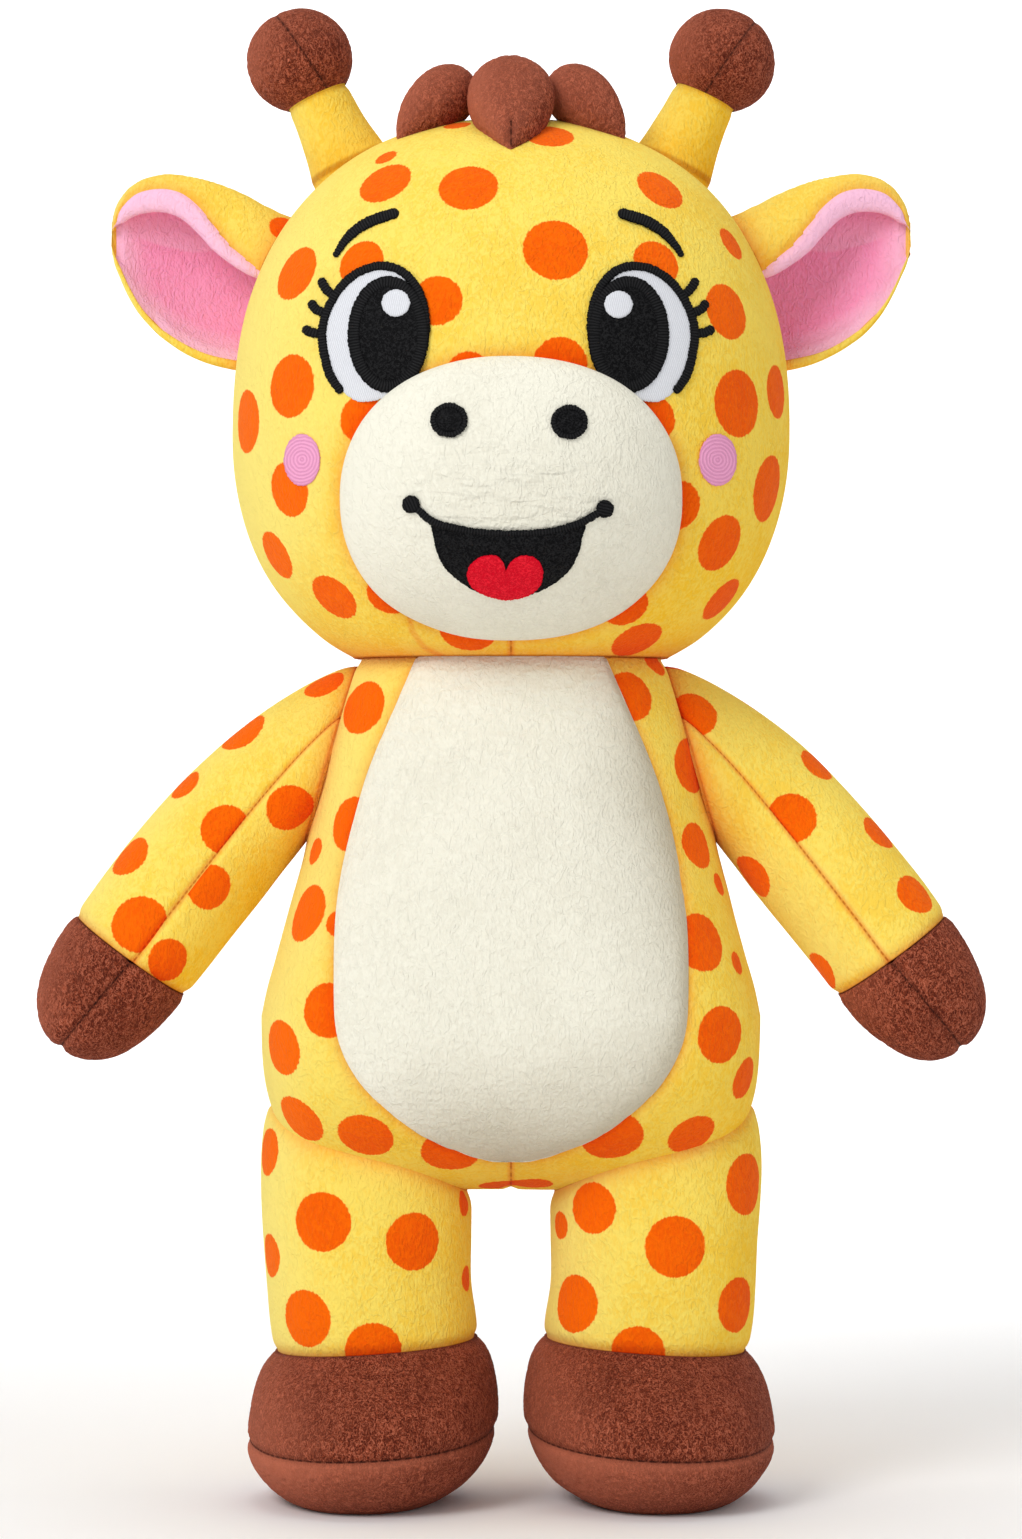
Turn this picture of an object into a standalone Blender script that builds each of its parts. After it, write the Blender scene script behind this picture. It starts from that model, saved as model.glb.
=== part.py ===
"""Plush giraffe, standing, sewn from plush over soft stuffing.

Metres, +Z up, face towards -Y, soles on Z = 0. Left and right are the toy's own, so left is +X.
"""

import math

import bmesh
import bpy
from mathutils import Vector

MM = 0.001

# Sewing
GAP = 0.3 * MM
SKIN = 2.5 * MM
SWING_CLEARANCE = 0.8 * MM
OVERRUN = 12.0 * MM

# Torso, from the hip axis up to the neck
HIP_HEIGHT = 130.0 * MM
TORSO_ABOVE_HIP = 95.5 * MM
TORSO_HALF_WIDTH = 66.9 * MM
TORSO_HALF_DEPTH = 47.4 * MM
HIP_POWER = 3.4
BODY_POWER = 2.3
SHOULDER_DROP = 1.0 * MM
SHOULDER_HEIGHT = 49.0 * MM
SHOULDER_TOP_SHARE = 0.97
HIP_FADE_SHARE = 0.625

# Height, half-width and half-depth as shares of the three sizes above
TORSO_SHARES = (
    (0.00, 1.000, 1.000),
    (0.08, 0.975, 0.998),
    (0.16, 0.942, 0.994),
    (0.33, 0.878, 0.970),
    (0.48, 0.825, 0.930),
    (0.63, 0.800, 0.880),
    (0.76, 0.785, 0.835),
    (0.88, 0.733, 0.785),
    (0.95, 0.680, 0.745),
    (1.00, 0.632, 0.710),
)

# Belly panel, from its lowest point up to the neck
BELLY_HALF_WIDTH = 46.3 * MM
BELLY_BELOW_HIP = 37.5 * MM
BELLY_SHARES = (
    (0.00, 0.12),
    (0.02, 0.30),
    (0.057, 0.52),
    (0.125, 0.76),
    (0.187, 0.90),
    (0.265, 0.985),
    (0.38, 1.00),
    (0.50, 0.99),
    (0.615, 0.94),
    (0.728, 0.855),
    (0.806, 0.777),
    (0.904, 0.657),
    (1.00, 0.54),
)

# Head
HEAD_BELOW_WIDEST = 61.8 * MM
HEAD_LOWER_REACH = 70.8 * MM
HEAD_UPPER_REACH = 83.0 * MM
HEAD_HALF_WIDTH = 74.8 * MM
HEAD_HALF_DEPTH = 66.0 * MM
HEAD_POWER = 2.3

# Muzzle
MUZZLE_DROP = 21.9 * MM
MUZZLE_HALF_WIDTH = 44.2 * MM
MUZZLE_HALF_HEIGHT = 36.0 * MM
MUZZLE_EDGE = 1.2 * MM
MUZZLE_DOME = 13.0 * MM
MUZZLE_POWER = 2.2

# Horns
HORN_ROOT_OUT = 43.6 * MM
HORN_ROOT_BACK = 2.0 * MM
HORN_TILT = math.radians(25.5)
HORN_LENGTH = 20.0 * MM
HORN_ROOT_RADIUS = 9.8 * MM
HORN_TOP_RADIUS = 8.6 * MM
KNOB_RADIUS = 14.3 * MM
KNOB_HEIGHT_SHARE = 0.96

# Share of the horn's length, then its radius as a share of the straight taper's
HORN_FLARE_SHARES = (
    (1.00, 1.00),
    (0.72, 1.00),
    (0.45, 1.03),
    (0.22, 1.09),
    (0.00, 1.14),
)

# Ears
EAR_ROOT_HEIGHT = 44.0 * MM
EAR_LENGTH = 42.0 * MM
EAR_RAISE = 17.0 * MM
EAR_BACK = 8.0 * MM
EAR_THICKNESS = 2.6 * MM
EAR_LINING = 1.6 * MM
EAR_RIM = 2.6 * MM
EAR_CUP = 7.0 * MM
EAR_ROOT_LOW = 13.7 * MM
EAR_CLEARANCE = 0.9 * MM
EAR_CUP_SHARE = 0.5

# Share of the length, then the low and high edges as shares of the root's height
EAR_SHARES = (
    (0.00, 0.00, 1.00),
    (0.14, 0.02, 1.01),
    (0.36, 0.024, 1.023),
    (0.56, 0.06, 1.03),
    (0.73, 0.15, 0.992),
    (0.86, 0.26, 0.93),
    (0.95, 0.38, 0.85),
    (1.00, 0.46, 0.78),
    (1.03, 0.56, 0.68),
)

# Hair
TUFT_POINT_POWER = 0.75
TUFT_SWELL_SHARE = 1.3
FRONT_TUFT_LENGTH = 37.0 * MM
FRONT_TUFT_RADIUS = 10.8 * MM
FRONT_TUFT_HALF_THICKNESS = 9.5 * MM
FRONT_TUFT_LIFT = 12.0 * MM
FRONT_TUFT_FORWARD = 12.0 * MM
FRONT_TUFT_PITCH = math.radians(41)
SIDE_TUFT_LENGTH = 28.5 * MM
SIDE_TUFT_RADIUS = 8.4 * MM
SIDE_TUFT_HALF_THICKNESS = 7.8 * MM
SIDE_TUFT_LIFT = 11.2 * MM
SIDE_TUFT_OUT = 12.0 * MM
SIDE_TUFT_FORWARD = 9.0 * MM
SIDE_TUFT_PITCH = math.radians(41)
SIDE_TUFT_TURN = math.radians(33)

# Arms, from the shoulder seam to the cuff
ARM_ROOT_HALF_DEPTH = 21.0 * MM
ARM_HALF_DEPTH = 17.6 * MM
ARM_FORWARD = 12.0 * MM
ARM_THINNING_SHARE = 0.5
ARM_UNDERSIDE_POWER = 1.5
ELBOW_OUT = 37.0 * MM
ELBOW_DROP = 12.0 * MM
CUFF_OUT = 75.0 * MM
CUFF_DROP = 67.5 * MM
CUFF_WIDTH = 36.4 * MM
CUFF_LEAN = math.radians(36.3)
HAND_LENGTH = 31.0 * MM
HAND_FORWARD = 7.0 * MM

# Legs and boots
CROTCH_HALF_WIDTH = 10.6 * MM
LEG_HALF_WIDTH = 28.4 * MM
LEG_HALF_DEPTH = 27.0 * MM
CUFF_HEIGHT = 41.0 * MM
BOOT_HALF_WIDTH = 33.6 * MM
BOOT_TOE = 47.0 * MM
BOOT_HEEL = 29.5 * MM
BOOTS_APART = 8.8 * MM
BOOT_SPLAY = 3.5 * MM
SOLE_HEIGHT = 18.0 * MM
BOOT_POWER = 2.15
SOLE_CURVE_POWER = 1.5

# Share of the way down, half-width share, and share of the way over to the boot's middle
LEG_SHARES = (
    (0.00, 0.95, 0.50),
    (0.12, 0.99, 0.15),
    (0.30, 1.00, 0.00),
    (0.60, 0.985, 0.15),
    (0.85, 0.985, 0.60),
    (1.00, 0.965, 1.00),
)

# Height share, then half-width, toe and heel shares
BOOT_SHARES = (
    (0.00, 0.58, 0.70, 0.54),
    (0.03, 0.66, 0.76, 0.62),
    (0.11, 0.79, 0.86, 0.77),
    (0.22, 0.90, 0.94, 0.90),
    (0.34, 0.97, 0.99, 0.97),
    (0.48, 1.00, 1.00, 1.00),
    (0.63, 0.99, 0.94, 1.00),
    (0.77, 0.96, 0.83, 0.99),
    (0.89, 0.91, 0.71, 0.96),
    (1.00, 0.825, 0.60, 0.93),
)

# Tail
TAIL_ABOVE_HIP = 16.0 * MM
TAIL_LENGTH = 31.0 * MM
TAIL_RADIUS = 3.6 * MM
TAIL_LEAN = math.radians(8)
TAIL_TUFT_LENGTH = 20.0 * MM
TAIL_TUFT_RADIUS = 6.5 * MM
TAIL_TUFT_NECK_SHARE = 0.25
TAIL_TUFT_SWELL_SHARE = 1.2
TAIL_TUFT_POINT_POWER = 0.4

# Face, measured from the middle of the head's widest level, and across as shares of the head's half-width
LAYER = 0.8 * MM
EYE_OUT_SHARE = 0.4706
EYE_RISE = 20.8 * MM
EYE_HALF_WIDTH = 12.4 * MM
EYE_HALF_HEIGHT = 15.6 * MM
RIM_WIDTH = 2.3 * MM
EYE_RIM_FROM = math.radians(-61)
EYE_RIM_TO = math.radians(178)
IRIS_OUT_SHARE = 0.4278
IRIS_RISE = 20.3 * MM
IRIS_HALF_WIDTH = 10.0 * MM
IRIS_HALF_HEIGHT = 14.4 * MM
GLINT_OUT_SHARE = 0.3904
GLINT_RISE = 28.2 * MM
GLINT_RADIUS = 3.7 * MM
BROW_OUT_SHARE = 0.5013
BROW_RISE = 45.5 * MM
BROW_LENGTH = 19.5 * MM
BROW_WIDTH = 2.5 * MM
BROW_SAG = 2.6 * MM
BROW_SLOPE = math.radians(33)
CHEEK_OUT_SHARE = 0.7166
CHEEK_DROP = 9.5 * MM
CHEEK_HALF_WIDTH = 5.4 * MM
CHEEK_HALF_HEIGHT = 6.8 * MM
NOSTRIL_OUT = 15.2 * MM
NOSTRIL_RISE = 20.3 * MM
NOSTRIL_RADIUS = 4.5 * MM
MOUTH_HALF_WIDTH = 18.4 * MM
MOUTH_DROP = 4.0 * MM
MOUTH_DEPTH = 20.0 * MM
MOUTH_SAG = 3.4 * MM
MOUTH_POWER = 2.2
TONGUE_DROP = 13.5 * MM
TONGUE_HALF_WIDTH = 10.0 * MM
TONGUE_HALF_HEIGHT = 5.8 * MM
TONGUE_NOTCH = 3.8 * MM

# Facets
HEAD_SIDES = 32
HEAD_RINGS = 16
TORSO_SIDES = 32
TORSO_RINGS = 14
BULB_RINGS = 6
ARM_SIDES = 20
ARM_RINGS = 8
HAND_RINGS = 5
LEG_SIDES = 24
LEG_RINGS = 5
CAP_RINGS = 4
EAR_ROWS = 9
PATCH_SIDES = 18
PATCH_RINGS = 2
MOUTH_RINGS = 3
BROW_STEPS = 8
EYE_RIM_STEPS = 18
KNOB_RINGS = 9
TUFT_RINGS = 9
TUFT_SIDES = 16
TAIL_SIDES = 12
TAIL_RINGS = 4
TAIL_TUFT_RINGS = 8
UPPER_RINGS = 6
SOLE_RINGS = 7
HOLLOW_RINGS = 10
FILLING_RINGS = 8
HALVINGS = 40
CREASE = math.radians(50)

# Plush and thread colours, as 8-bit screen values
YELLOW = (253, 222, 85)
CREAM = (244, 242, 222)
BROWN = (140, 70, 50)
PINK = (255, 150, 195)
BLUSH = (250, 150, 205)
BLACK = (18, 18, 26)
WHITE = (235, 238, 245)
RED = (235, 30, 60)
FILLING = (240, 240, 236)
SCREEN_GAMMA = 2.2
SCREEN_WHITE = 255
PLUSH_ROUGHNESS = 0.95
PLUSH_SHEEN = 0.4
THREAD_ROUGHNESS = 0.6
FILLING_ROUGHNESS = 1.0

# Places on the face that follow from the head's width
EYE_OUT = HEAD_HALF_WIDTH * EYE_OUT_SHARE
IRIS_OUT = HEAD_HALF_WIDTH * IRIS_OUT_SHARE
GLINT_OUT = HEAD_HALF_WIDTH * GLINT_OUT_SHARE
BROW_OUT = HEAD_HALF_WIDTH * BROW_OUT_SHARE
CHEEK_OUT = HEAD_HALF_WIDTH * CHEEK_OUT_SHARE

# Levels that follow from the sizes
NECK_Z = HIP_HEIGHT + TORSO_ABOVE_HIP
HEAD_Z = NECK_Z + HEAD_BELOW_WIDEST
MUZZLE_Z = HEAD_Z - MUZZLE_DROP
SHOULDER_TOP_Z = NECK_Z - SHOULDER_DROP
ARMPIT_Z = SHOULDER_TOP_Z - SHOULDER_HEIGHT
LEG_X = CROTCH_HALF_WIDTH + LEG_HALF_WIDTH
CUFF_X = BOOT_HALF_WIDTH + (BOOTS_APART - BOOT_SPLAY) / 2
CENTRING = (MUZZLE_DOME + MUZZLE_EDGE) / 2

SIDES = (("left", 1), ("right", -1))


def clear_scene():
    for old in list(bpy.data.objects):
        bpy.data.objects.remove(old, do_unlink=True)


def curve_value(table, at, column=1):
    """A smooth curve through a table's rows, read at one value of its first column."""
    rows = [(row[0], row[column]) for row in table]
    if at <= rows[0][0]:
        return rows[0][1]
    if at >= rows[-1][0]:
        return rows[-1][1]
    place = next(i for i in range(len(rows) - 1) if at <= rows[i + 1][0])
    slopes = []
    for i in (place, place + 1):
        before = rows[max(i - 1, 0)]
        after = rows[min(i + 1, len(rows) - 1)]
        slopes.append((after[1] - before[1]) / (after[0] - before[0]))
    (x0, y0), (x1, y1) = rows[place], rows[place + 1]
    span = x1 - x0
    t = (at - x0) / span
    start = (2 * t**3 - 3 * t**2 + 1) * y0 + (t**3 - 2 * t**2 + t) * span * slopes[0]
    return start + (3 * t**2 - 2 * t**3) * y1 + (t**3 - t**2) * span * slopes[1]


def mix(a, b, share):
    return a + (b - a) * share


def ease(share):
    share = min(max(share, 0.0), 1.0)
    return share * share * (3 - 2 * share)


def oval(angle, half_width, half_depth, power):
    """A point of a rounded rectangle whose corners fill out as the power grows from 2."""
    across, along = math.cos(angle), math.sin(angle)
    x = half_width * math.copysign(abs(across) ** (2 / power), across)
    y = half_depth * math.copysign(abs(along) ** (2 / power), along)
    return x, y


def turns(count):
    return [2 * math.pi * i / count for i in range(count)]


def remainder(power, *ratios):
    """What is left of 1 on a rounded solid once the given ratios are taken."""
    left = 1 - sum(abs(ratio) ** power for ratio in ratios)
    return max(left, 0.0) ** (1 / power)


def material(name, colour, roughness, sheen=0.0):
    made = bpy.data.materials.get(name)
    if made:
        return made
    made = bpy.data.materials.new(name)
    made.use_nodes = True
    shader = made.node_tree.nodes["Principled BSDF"]
    linear = [(part / SCREEN_WHITE) ** SCREEN_GAMMA for part in colour]
    shader.inputs["Base Color"].default_value = (*linear, 1.0)
    shader.inputs["Roughness"].default_value = roughness
    shader.inputs["Metallic"].default_value = 0.0
    shader.inputs["Sheen Weight"].default_value = sheen
    return made


def plush(name, colour):
    return material(name, colour, PLUSH_ROUGHNESS, PLUSH_SHEEN)


def thread(name, colour):
    return material(name, colour, THREAD_ROUGHNESS)


def pivot(name, place):
    """An empty on a joint's axis, which carries the pieces that turn about it."""
    empty = bpy.data.objects.new(name, None)
    empty.location = place + Vector((0, CENTRING, 0))
    bpy.context.collection.objects.link(empty)
    return empty


def lofted(rings, first=None, last=None):
    """Vertices and faces of a closed skin over rings, with a point or a flat face at each end."""
    size = len(rings[0])
    points = [Vector(p) for ring in rings for p in ring]
    faces = []
    for r in range(len(rings) - 1):
        for i in range(size):
            j = (i + 1) % size
            low, high = r * size, (r + 1) * size
            faces.append((low + i, low + j, high + j, high + i))
    for end, base in ((first, 0), (last, (len(rings) - 1) * size)):
        ring = [base + i for i in range(size)]
        if end is None:
            faces.append(tuple(ring))
            continue
        points.append(Vector(end))
        tip = len(points) - 1
        faces.extend((ring[i], ring[(i + 1) % size], tip) for i in range(size))
    return points, faces


def piece(name, shape, look, carrier=None):
    """A named object from points and faces, with its origin on the carrier's axis."""
    points, faces = shape
    origin = carrier.location if carrier else Vector((0, 0, 0))
    shift = Vector((0, CENTRING, 0)) - origin
    mesh = bpy.data.meshes.new(name)
    mesh.from_pydata([p + shift for p in points], [], faces)
    tidy = bmesh.new()
    tidy.from_mesh(mesh)
    bmesh.ops.recalc_face_normals(tidy, faces=tidy.faces)
    tidy.to_mesh(mesh)
    tidy.free()
    mesh.shade_smooth()
    mesh.set_sharp_from_angle(angle=CREASE)
    made = bpy.data.objects.new(name, mesh)
    if look:
        mesh.materials.append(look)
    if carrier:
        made.parent = carrier
    bpy.context.collection.objects.link(made)
    return made


def cutter(name, shape):
    made = piece(name, shape, None)
    made.hide_render = True
    made.display_type = "WIRE"
    return made


def cut(target, tool, operation="DIFFERENCE"):
    step = target.modifiers.new(tool.name, "BOOLEAN")
    step.operation = operation
    step.solver = "EXACT"
    step.object = tool


# Head


def head_sizes(grow):
    upper = HEAD_UPPER_REACH + grow
    lower = HEAD_LOWER_REACH + grow
    return HEAD_HALF_WIDTH + grow, HEAD_HALF_DEPTH + grow, upper, lower


def head_share(z, grow):
    """The level z as a share of the head's reach above or below its widest level."""
    _, _, upper, lower = head_sizes(grow)
    rise = z - HEAD_Z
    return rise / (upper if rise > 0 else lower)


def head_front(x, z, grow=0.0):
    """The y of the head's front at (x, z)."""
    width, depth, _, _ = head_sizes(grow)
    return -depth * remainder(HEAD_POWER, x / width, head_share(z, grow))


def head_side(y, z, grow=0.0):
    """The x of the head's side at (y, z)."""
    width, depth, _, _ = head_sizes(grow)
    return width * remainder(HEAD_POWER, y / depth, head_share(z, grow))


def inside_head(point, grow):
    width, depth, _, _ = head_sizes(grow)
    ratios = (point.x / width, point.y / depth, head_share(point.z, grow))
    return sum(abs(ratio) ** HEAD_POWER for ratio in ratios) < 1


def down_to_head(point, way, grow):
    """The place where a line that leaves a point outside meets the head."""
    near, far = 0.0, HEAD_HALF_DEPTH
    for _ in range(HALVINGS):
        middle = (near + far) / 2
        if inside_head(point + way * middle, grow):
            far = middle
        else:
            near = middle
    return point + way * near


def head_shape(grow, sides, rings, bottom):
    """The head's rounded solid, from its crown down to a flat neck."""
    width, depth, upper, lower = head_sizes(grow)
    sunk = (HEAD_Z - bottom) / lower
    lowest = -math.asin(min(sunk, 1.0) ** (HEAD_POWER / 2))
    loops = []
    for r in range(1, rings + 1):
        lean = mix(math.pi / 2, lowest, r / rings)
        rise = math.copysign(abs(math.sin(lean)) ** (2 / HEAD_POWER), lean)
        z = HEAD_Z + rise * (upper if rise > 0 else lower)
        spread = remainder(HEAD_POWER, rise)
        level = [oval(a, width * spread, depth * spread, HEAD_POWER) for a in turns(sides)]
        loops.append([(x, y, z) for x, y in level])
    return lofted(loops, first=(0, 0, HEAD_Z + upper))


def build_head(neck):
    bottom = NECK_Z + GAP / 2
    skin_shape = head_shape(0.0, HEAD_SIDES, HEAD_RINGS, bottom)
    skin = piece("head_skin", skin_shape, plush("head_plush", YELLOW), neck)
    hollow = head_shape(-SKIN, HEAD_SIDES // 2, HEAD_RINGS // 2, bottom - GAP)
    cut(skin, cutter("head_hollow", hollow))
    filling = head_shape(-SKIN - GAP, HEAD_SIDES // 2, HEAD_RINGS // 2, bottom)
    piece("head_stuffing", filling, material("head_filling", FILLING, FILLING_ROUGHNESS), neck)


def muzzle_front(x, z, grow=0.0):
    """The y of the muzzle's front at (x, z)."""
    left = remainder(MUZZLE_POWER, x / MUZZLE_HALF_WIDTH, (z - MUZZLE_Z) / MUZZLE_HALF_HEIGHT)
    return head_front(x, z, GAP) - MUZZLE_EDGE - MUZZLE_DOME * left - grow


def draped(outline, centre, rings, front, back):
    """A thin solid between two surfaces, spread in rings from a centre out to an outline."""
    def at(point, surface):
        x, z = point
        return x, surface(x, z), z

    def ring(share):
        return [(mix(centre[0], x, share), mix(centre[1], z, share)) for x, z in outline]

    shares = [math.sin(math.pi / 2 * r / rings) for r in range(1, rings + 1)]
    loops = [[at(p, front) for p in ring(share)] for share in shares]
    loops += [[at(p, back) for p in ring(share)] for share in reversed(shares)]
    return lofted(loops, first=at(centre, front), last=at(centre, back))


def oval_outline(centre, half_width, half_height, power, sides, tilt=0.0):
    found = []
    for angle in turns(sides):
        across, up = oval(angle, half_width, half_height, power)
        x = across * math.cos(tilt) - up * math.sin(tilt)
        z = across * math.sin(tilt) + up * math.cos(tilt)
        found.append((centre[0] + x, centre[1] + z))
    return found


def build_muzzle(neck):
    centre = (0.0, MUZZLE_Z)
    sides = PATCH_SIDES + PATCH_SIDES // 2
    outline = oval_outline(centre, MUZZLE_HALF_WIDTH, MUZZLE_HALF_HEIGHT, MUZZLE_POWER, sides)
    shape = draped(outline, centre, 3 * PATCH_RINGS, muzzle_front, lambda x, z: head_front(x, z, GAP))
    piece("muzzle", shape, plush("muzzle_plush", CREAM), neck)


# Horns, hair and ears


def along_axis(start, axis, across, profile, sides, thickness=1.0):
    """Rings about an axis, each given as a distance along it and a radius."""
    other = axis.cross(across).normalized()
    rings = []
    for far, radius in profile:
        ring = []
        for angle in turns(sides):
            spoke = across * math.cos(angle) + other * math.sin(angle) * thickness
            ring.append(start + axis * far + spoke * radius)
        rings.append(ring)
    return rings


def horn_root(sign):
    """The middle of a horn's root and the way that the horn points."""
    axis = Vector((sign * math.sin(HORN_TILT), 0, math.cos(HORN_TILT)))
    z = HEAD_Z + HEAD_UPPER_REACH * remainder(
        HEAD_POWER, HORN_ROOT_OUT / HEAD_HALF_WIDTH, HORN_ROOT_BACK / HEAD_HALF_DEPTH
    )
    return Vector((sign * HORN_ROOT_OUT, HORN_ROOT_BACK, z)), axis


def build_horn(neck, side, sign):
    root, axis = horn_root(sign)
    level = Vector((math.cos(HORN_TILT), 0, -sign * math.sin(HORN_TILT)))
    profile = []
    for share, swell in HORN_FLARE_SHARES:
        radius = mix(HORN_ROOT_RADIUS, HORN_TOP_RADIUS, share) * swell
        profile.append((HORN_LENGTH * share, radius))
    profile[-1] = (HORN_LENGTH, profile[-1][1])
    rings = along_axis(root, axis, level, profile, PATCH_SIDES)
    rings[-1] = [down_to_head(p, -axis, GAP) for p in rings[-1]]
    under = down_to_head(root + axis * HORN_LENGTH, -axis, GAP)
    name = "horn_stalk_" + side
    piece(name, lofted(rings, last=under), plush(name + "_plush", YELLOW), neck)
    build_knob(neck, side, root + axis * (HORN_LENGTH + GAP), axis, level)


def build_knob(neck, side, seat, axis, level):
    """A stuffed ball, flat where it is sewn to the stalk."""
    rise = math.sqrt(KNOB_RADIUS**2 - HORN_TOP_RADIUS**2) * KNOB_HEIGHT_SHARE
    lowest = math.asin(rise / KNOB_HEIGHT_SHARE / KNOB_RADIUS)
    profile = []
    for r in range(KNOB_RINGS):
        lean = mix(-lowest, math.pi / 2, r / KNOB_RINGS)
        far = rise + math.sin(lean) * KNOB_RADIUS * KNOB_HEIGHT_SHARE
        profile.append((far, KNOB_RADIUS * math.cos(lean)))
    rings = along_axis(seat, axis, level, profile, PATCH_SIDES)
    top = seat + axis * (rise + KNOB_RADIUS * KNOB_HEIGHT_SHARE)
    name = "horn_knob_" + side
    piece(name, lofted(rings, last=top), plush(name + "_plush", BROWN), neck)


def drop_shape(start, axis, across, length, radius, half_thickness):
    """A stuffed drop, round at its start and pointed at its far end."""
    profile = []
    for r in range(1, TUFT_RINGS):
        lean = math.pi * r / TUFT_RINGS
        swell = math.sin(lean) * math.cos(lean / 2) ** TUFT_POINT_POWER
        profile.append((length * (1 - math.cos(lean)) / 2, radius * swell * TUFT_SWELL_SHARE))
    rings = along_axis(start, axis, across, profile, TUFT_SIDES, half_thickness / radius)
    return lofted(rings, first=start, last=start + axis * length)


def build_hair(neck):
    crown = cutter("crown", head_shape(GAP, HEAD_SIDES, HEAD_RINGS, HEAD_Z))
    top = HEAD_Z + HEAD_UPPER_REACH
    ahead = Vector((0, -math.cos(FRONT_TUFT_PITCH), -math.sin(FRONT_TUFT_PITCH)))
    start = Vector((0, -FRONT_TUFT_FORWARD, top + FRONT_TUFT_LIFT))
    sizes = FRONT_TUFT_LENGTH, FRONT_TUFT_RADIUS, FRONT_TUFT_HALF_THICKNESS
    shape = drop_shape(start, ahead, Vector((1, 0, 0)), *sizes)
    front = piece("hair_front", shape, plush("hair_front_plush", BROWN), neck)
    cut(front, crown)
    for side, sign in SIDES:
        lean = math.cos(SIDE_TUFT_PITCH)
        out = sign * lean * math.cos(SIDE_TUFT_TURN)
        ahead = Vector((out, -lean * math.sin(SIDE_TUFT_TURN), -math.sin(SIDE_TUFT_PITCH)))
        start = Vector((sign * SIDE_TUFT_OUT, -SIDE_TUFT_FORWARD, top + SIDE_TUFT_LIFT))
        across = Vector((0, 0, 1)).cross(ahead).normalized()
        sizes = SIDE_TUFT_LENGTH, SIDE_TUFT_RADIUS, SIDE_TUFT_HALF_THICKNESS
        shape = drop_shape(start, ahead, across, *sizes)
        name = "hair_" + side
        tuft = piece(name, shape, plush(name + "_plush", BROWN), neck)
        cut(tuft, crown)


def ear_root(sign):
    """The low and high ends of an ear's root line, just clear of the head's side."""
    ends = []
    for z in (HEAD_Z + EAR_ROOT_LOW, HEAD_Z + EAR_ROOT_LOW + EAR_ROOT_HEIGHT):
        x = head_side(EAR_BACK, z) + EAR_CLEARANCE
        ends.append(Vector((sign * x, EAR_BACK, z)))
    return ends


def ear_surface(sign, inset, lift):
    """Rows of points over an ear: cupped towards the front, and raised by lift from its middle."""
    foot, head = ear_root(sign)
    tip = EAR_SHARES[-1][0]
    margin = inset / EAR_LENGTH
    rows = []
    for r in range(EAR_ROWS + 1):
        share = mix(margin, tip - margin, math.sin(math.pi / 2 * r / EAR_ROWS))
        away = Vector((sign * EAR_LENGTH * share, 0, EAR_RAISE * share))
        start = foot.lerp(head, curve_value(EAR_SHARES, share, 1)) + away
        end = foot.lerp(head, curve_value(EAR_SHARES, share, 2)) + away
        edge = inset / (end - start).length
        row = []
        for i in range(EAR_ROWS + 1):
            across = mix(edge, 1 - edge, i / EAR_ROWS)
            place = start.lerp(end, across)
            hollow = EAR_CUP * ease(share / EAR_CUP_SHARE) * (1 - share * EAR_CUP_SHARE)
            place.y += hollow * (1 - (2 * across - 1) ** 2) - lift
            nearest = head_side(place.y, place.z) + EAR_CLEARANCE
            place.x = sign * max(sign * place.x, nearest)
            row.append(place)
        rows.append(row)
    return rows


def slab(back, front):
    """A closed sheet between two grids of points of equal size, with a strip of faces at each end."""
    loops = [far + near[::-1] for far, near in zip(back, front)]
    points, faces = lofted(loops)
    size = len(loops[0])
    faces = [face for face in faces if len(face) < size]
    for base in (0, len(points) - size):
        for i in range(size // 2 - 1):
            j = size - 1 - i
            faces.append((base + i, base + i + 1, base + j - 1, base + j))
    return points, faces


def build_ear(side, sign, carrier):
    half = EAR_THICKNESS / 2
    back = ear_surface(sign, 0.0, -half)
    front = ear_surface(sign, 0.0, half)
    name = "ear_back_" + side
    piece(name, slab(back, front), plush(name + "_plush", YELLOW), carrier)
    seat = half + 3 * GAP
    under = ear_surface(sign, EAR_RIM, seat)
    over = ear_surface(sign, EAR_RIM, seat + EAR_LINING)
    name = "ear_lining_" + side
    piece(name, slab(under, over), plush(name + "_plush", PINK), carrier)


# Torso


def torso_share(z):
    return (z - HIP_HEIGHT) / TORSO_ABOVE_HIP


def torso_width(z):
    return TORSO_HALF_WIDTH * curve_value(TORSO_SHARES, torso_share(z), 1)


def torso_depth(z):
    return TORSO_HALF_DEPTH * curve_value(TORSO_SHARES, torso_share(z), 2)


def hip_radius(x, grow=0.0):
    """The seat's radius about the hip axis at a distance x from the middle."""
    ratio = x / (TORSO_HALF_WIDTH + grow)
    return (TORSO_HALF_DEPTH + grow) * remainder(HIP_POWER, ratio)


def shoulder_out(z):
    """Where the flat shoulder seam lies at level z."""
    top = TORSO_HALF_WIDTH * TORSO_SHARES[-1][1] * SHOULDER_TOP_SHARE
    low = torso_width(ARMPIT_Z)
    return mix(low, top, (z - ARMPIT_Z) / SHOULDER_HEIGHT)


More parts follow.
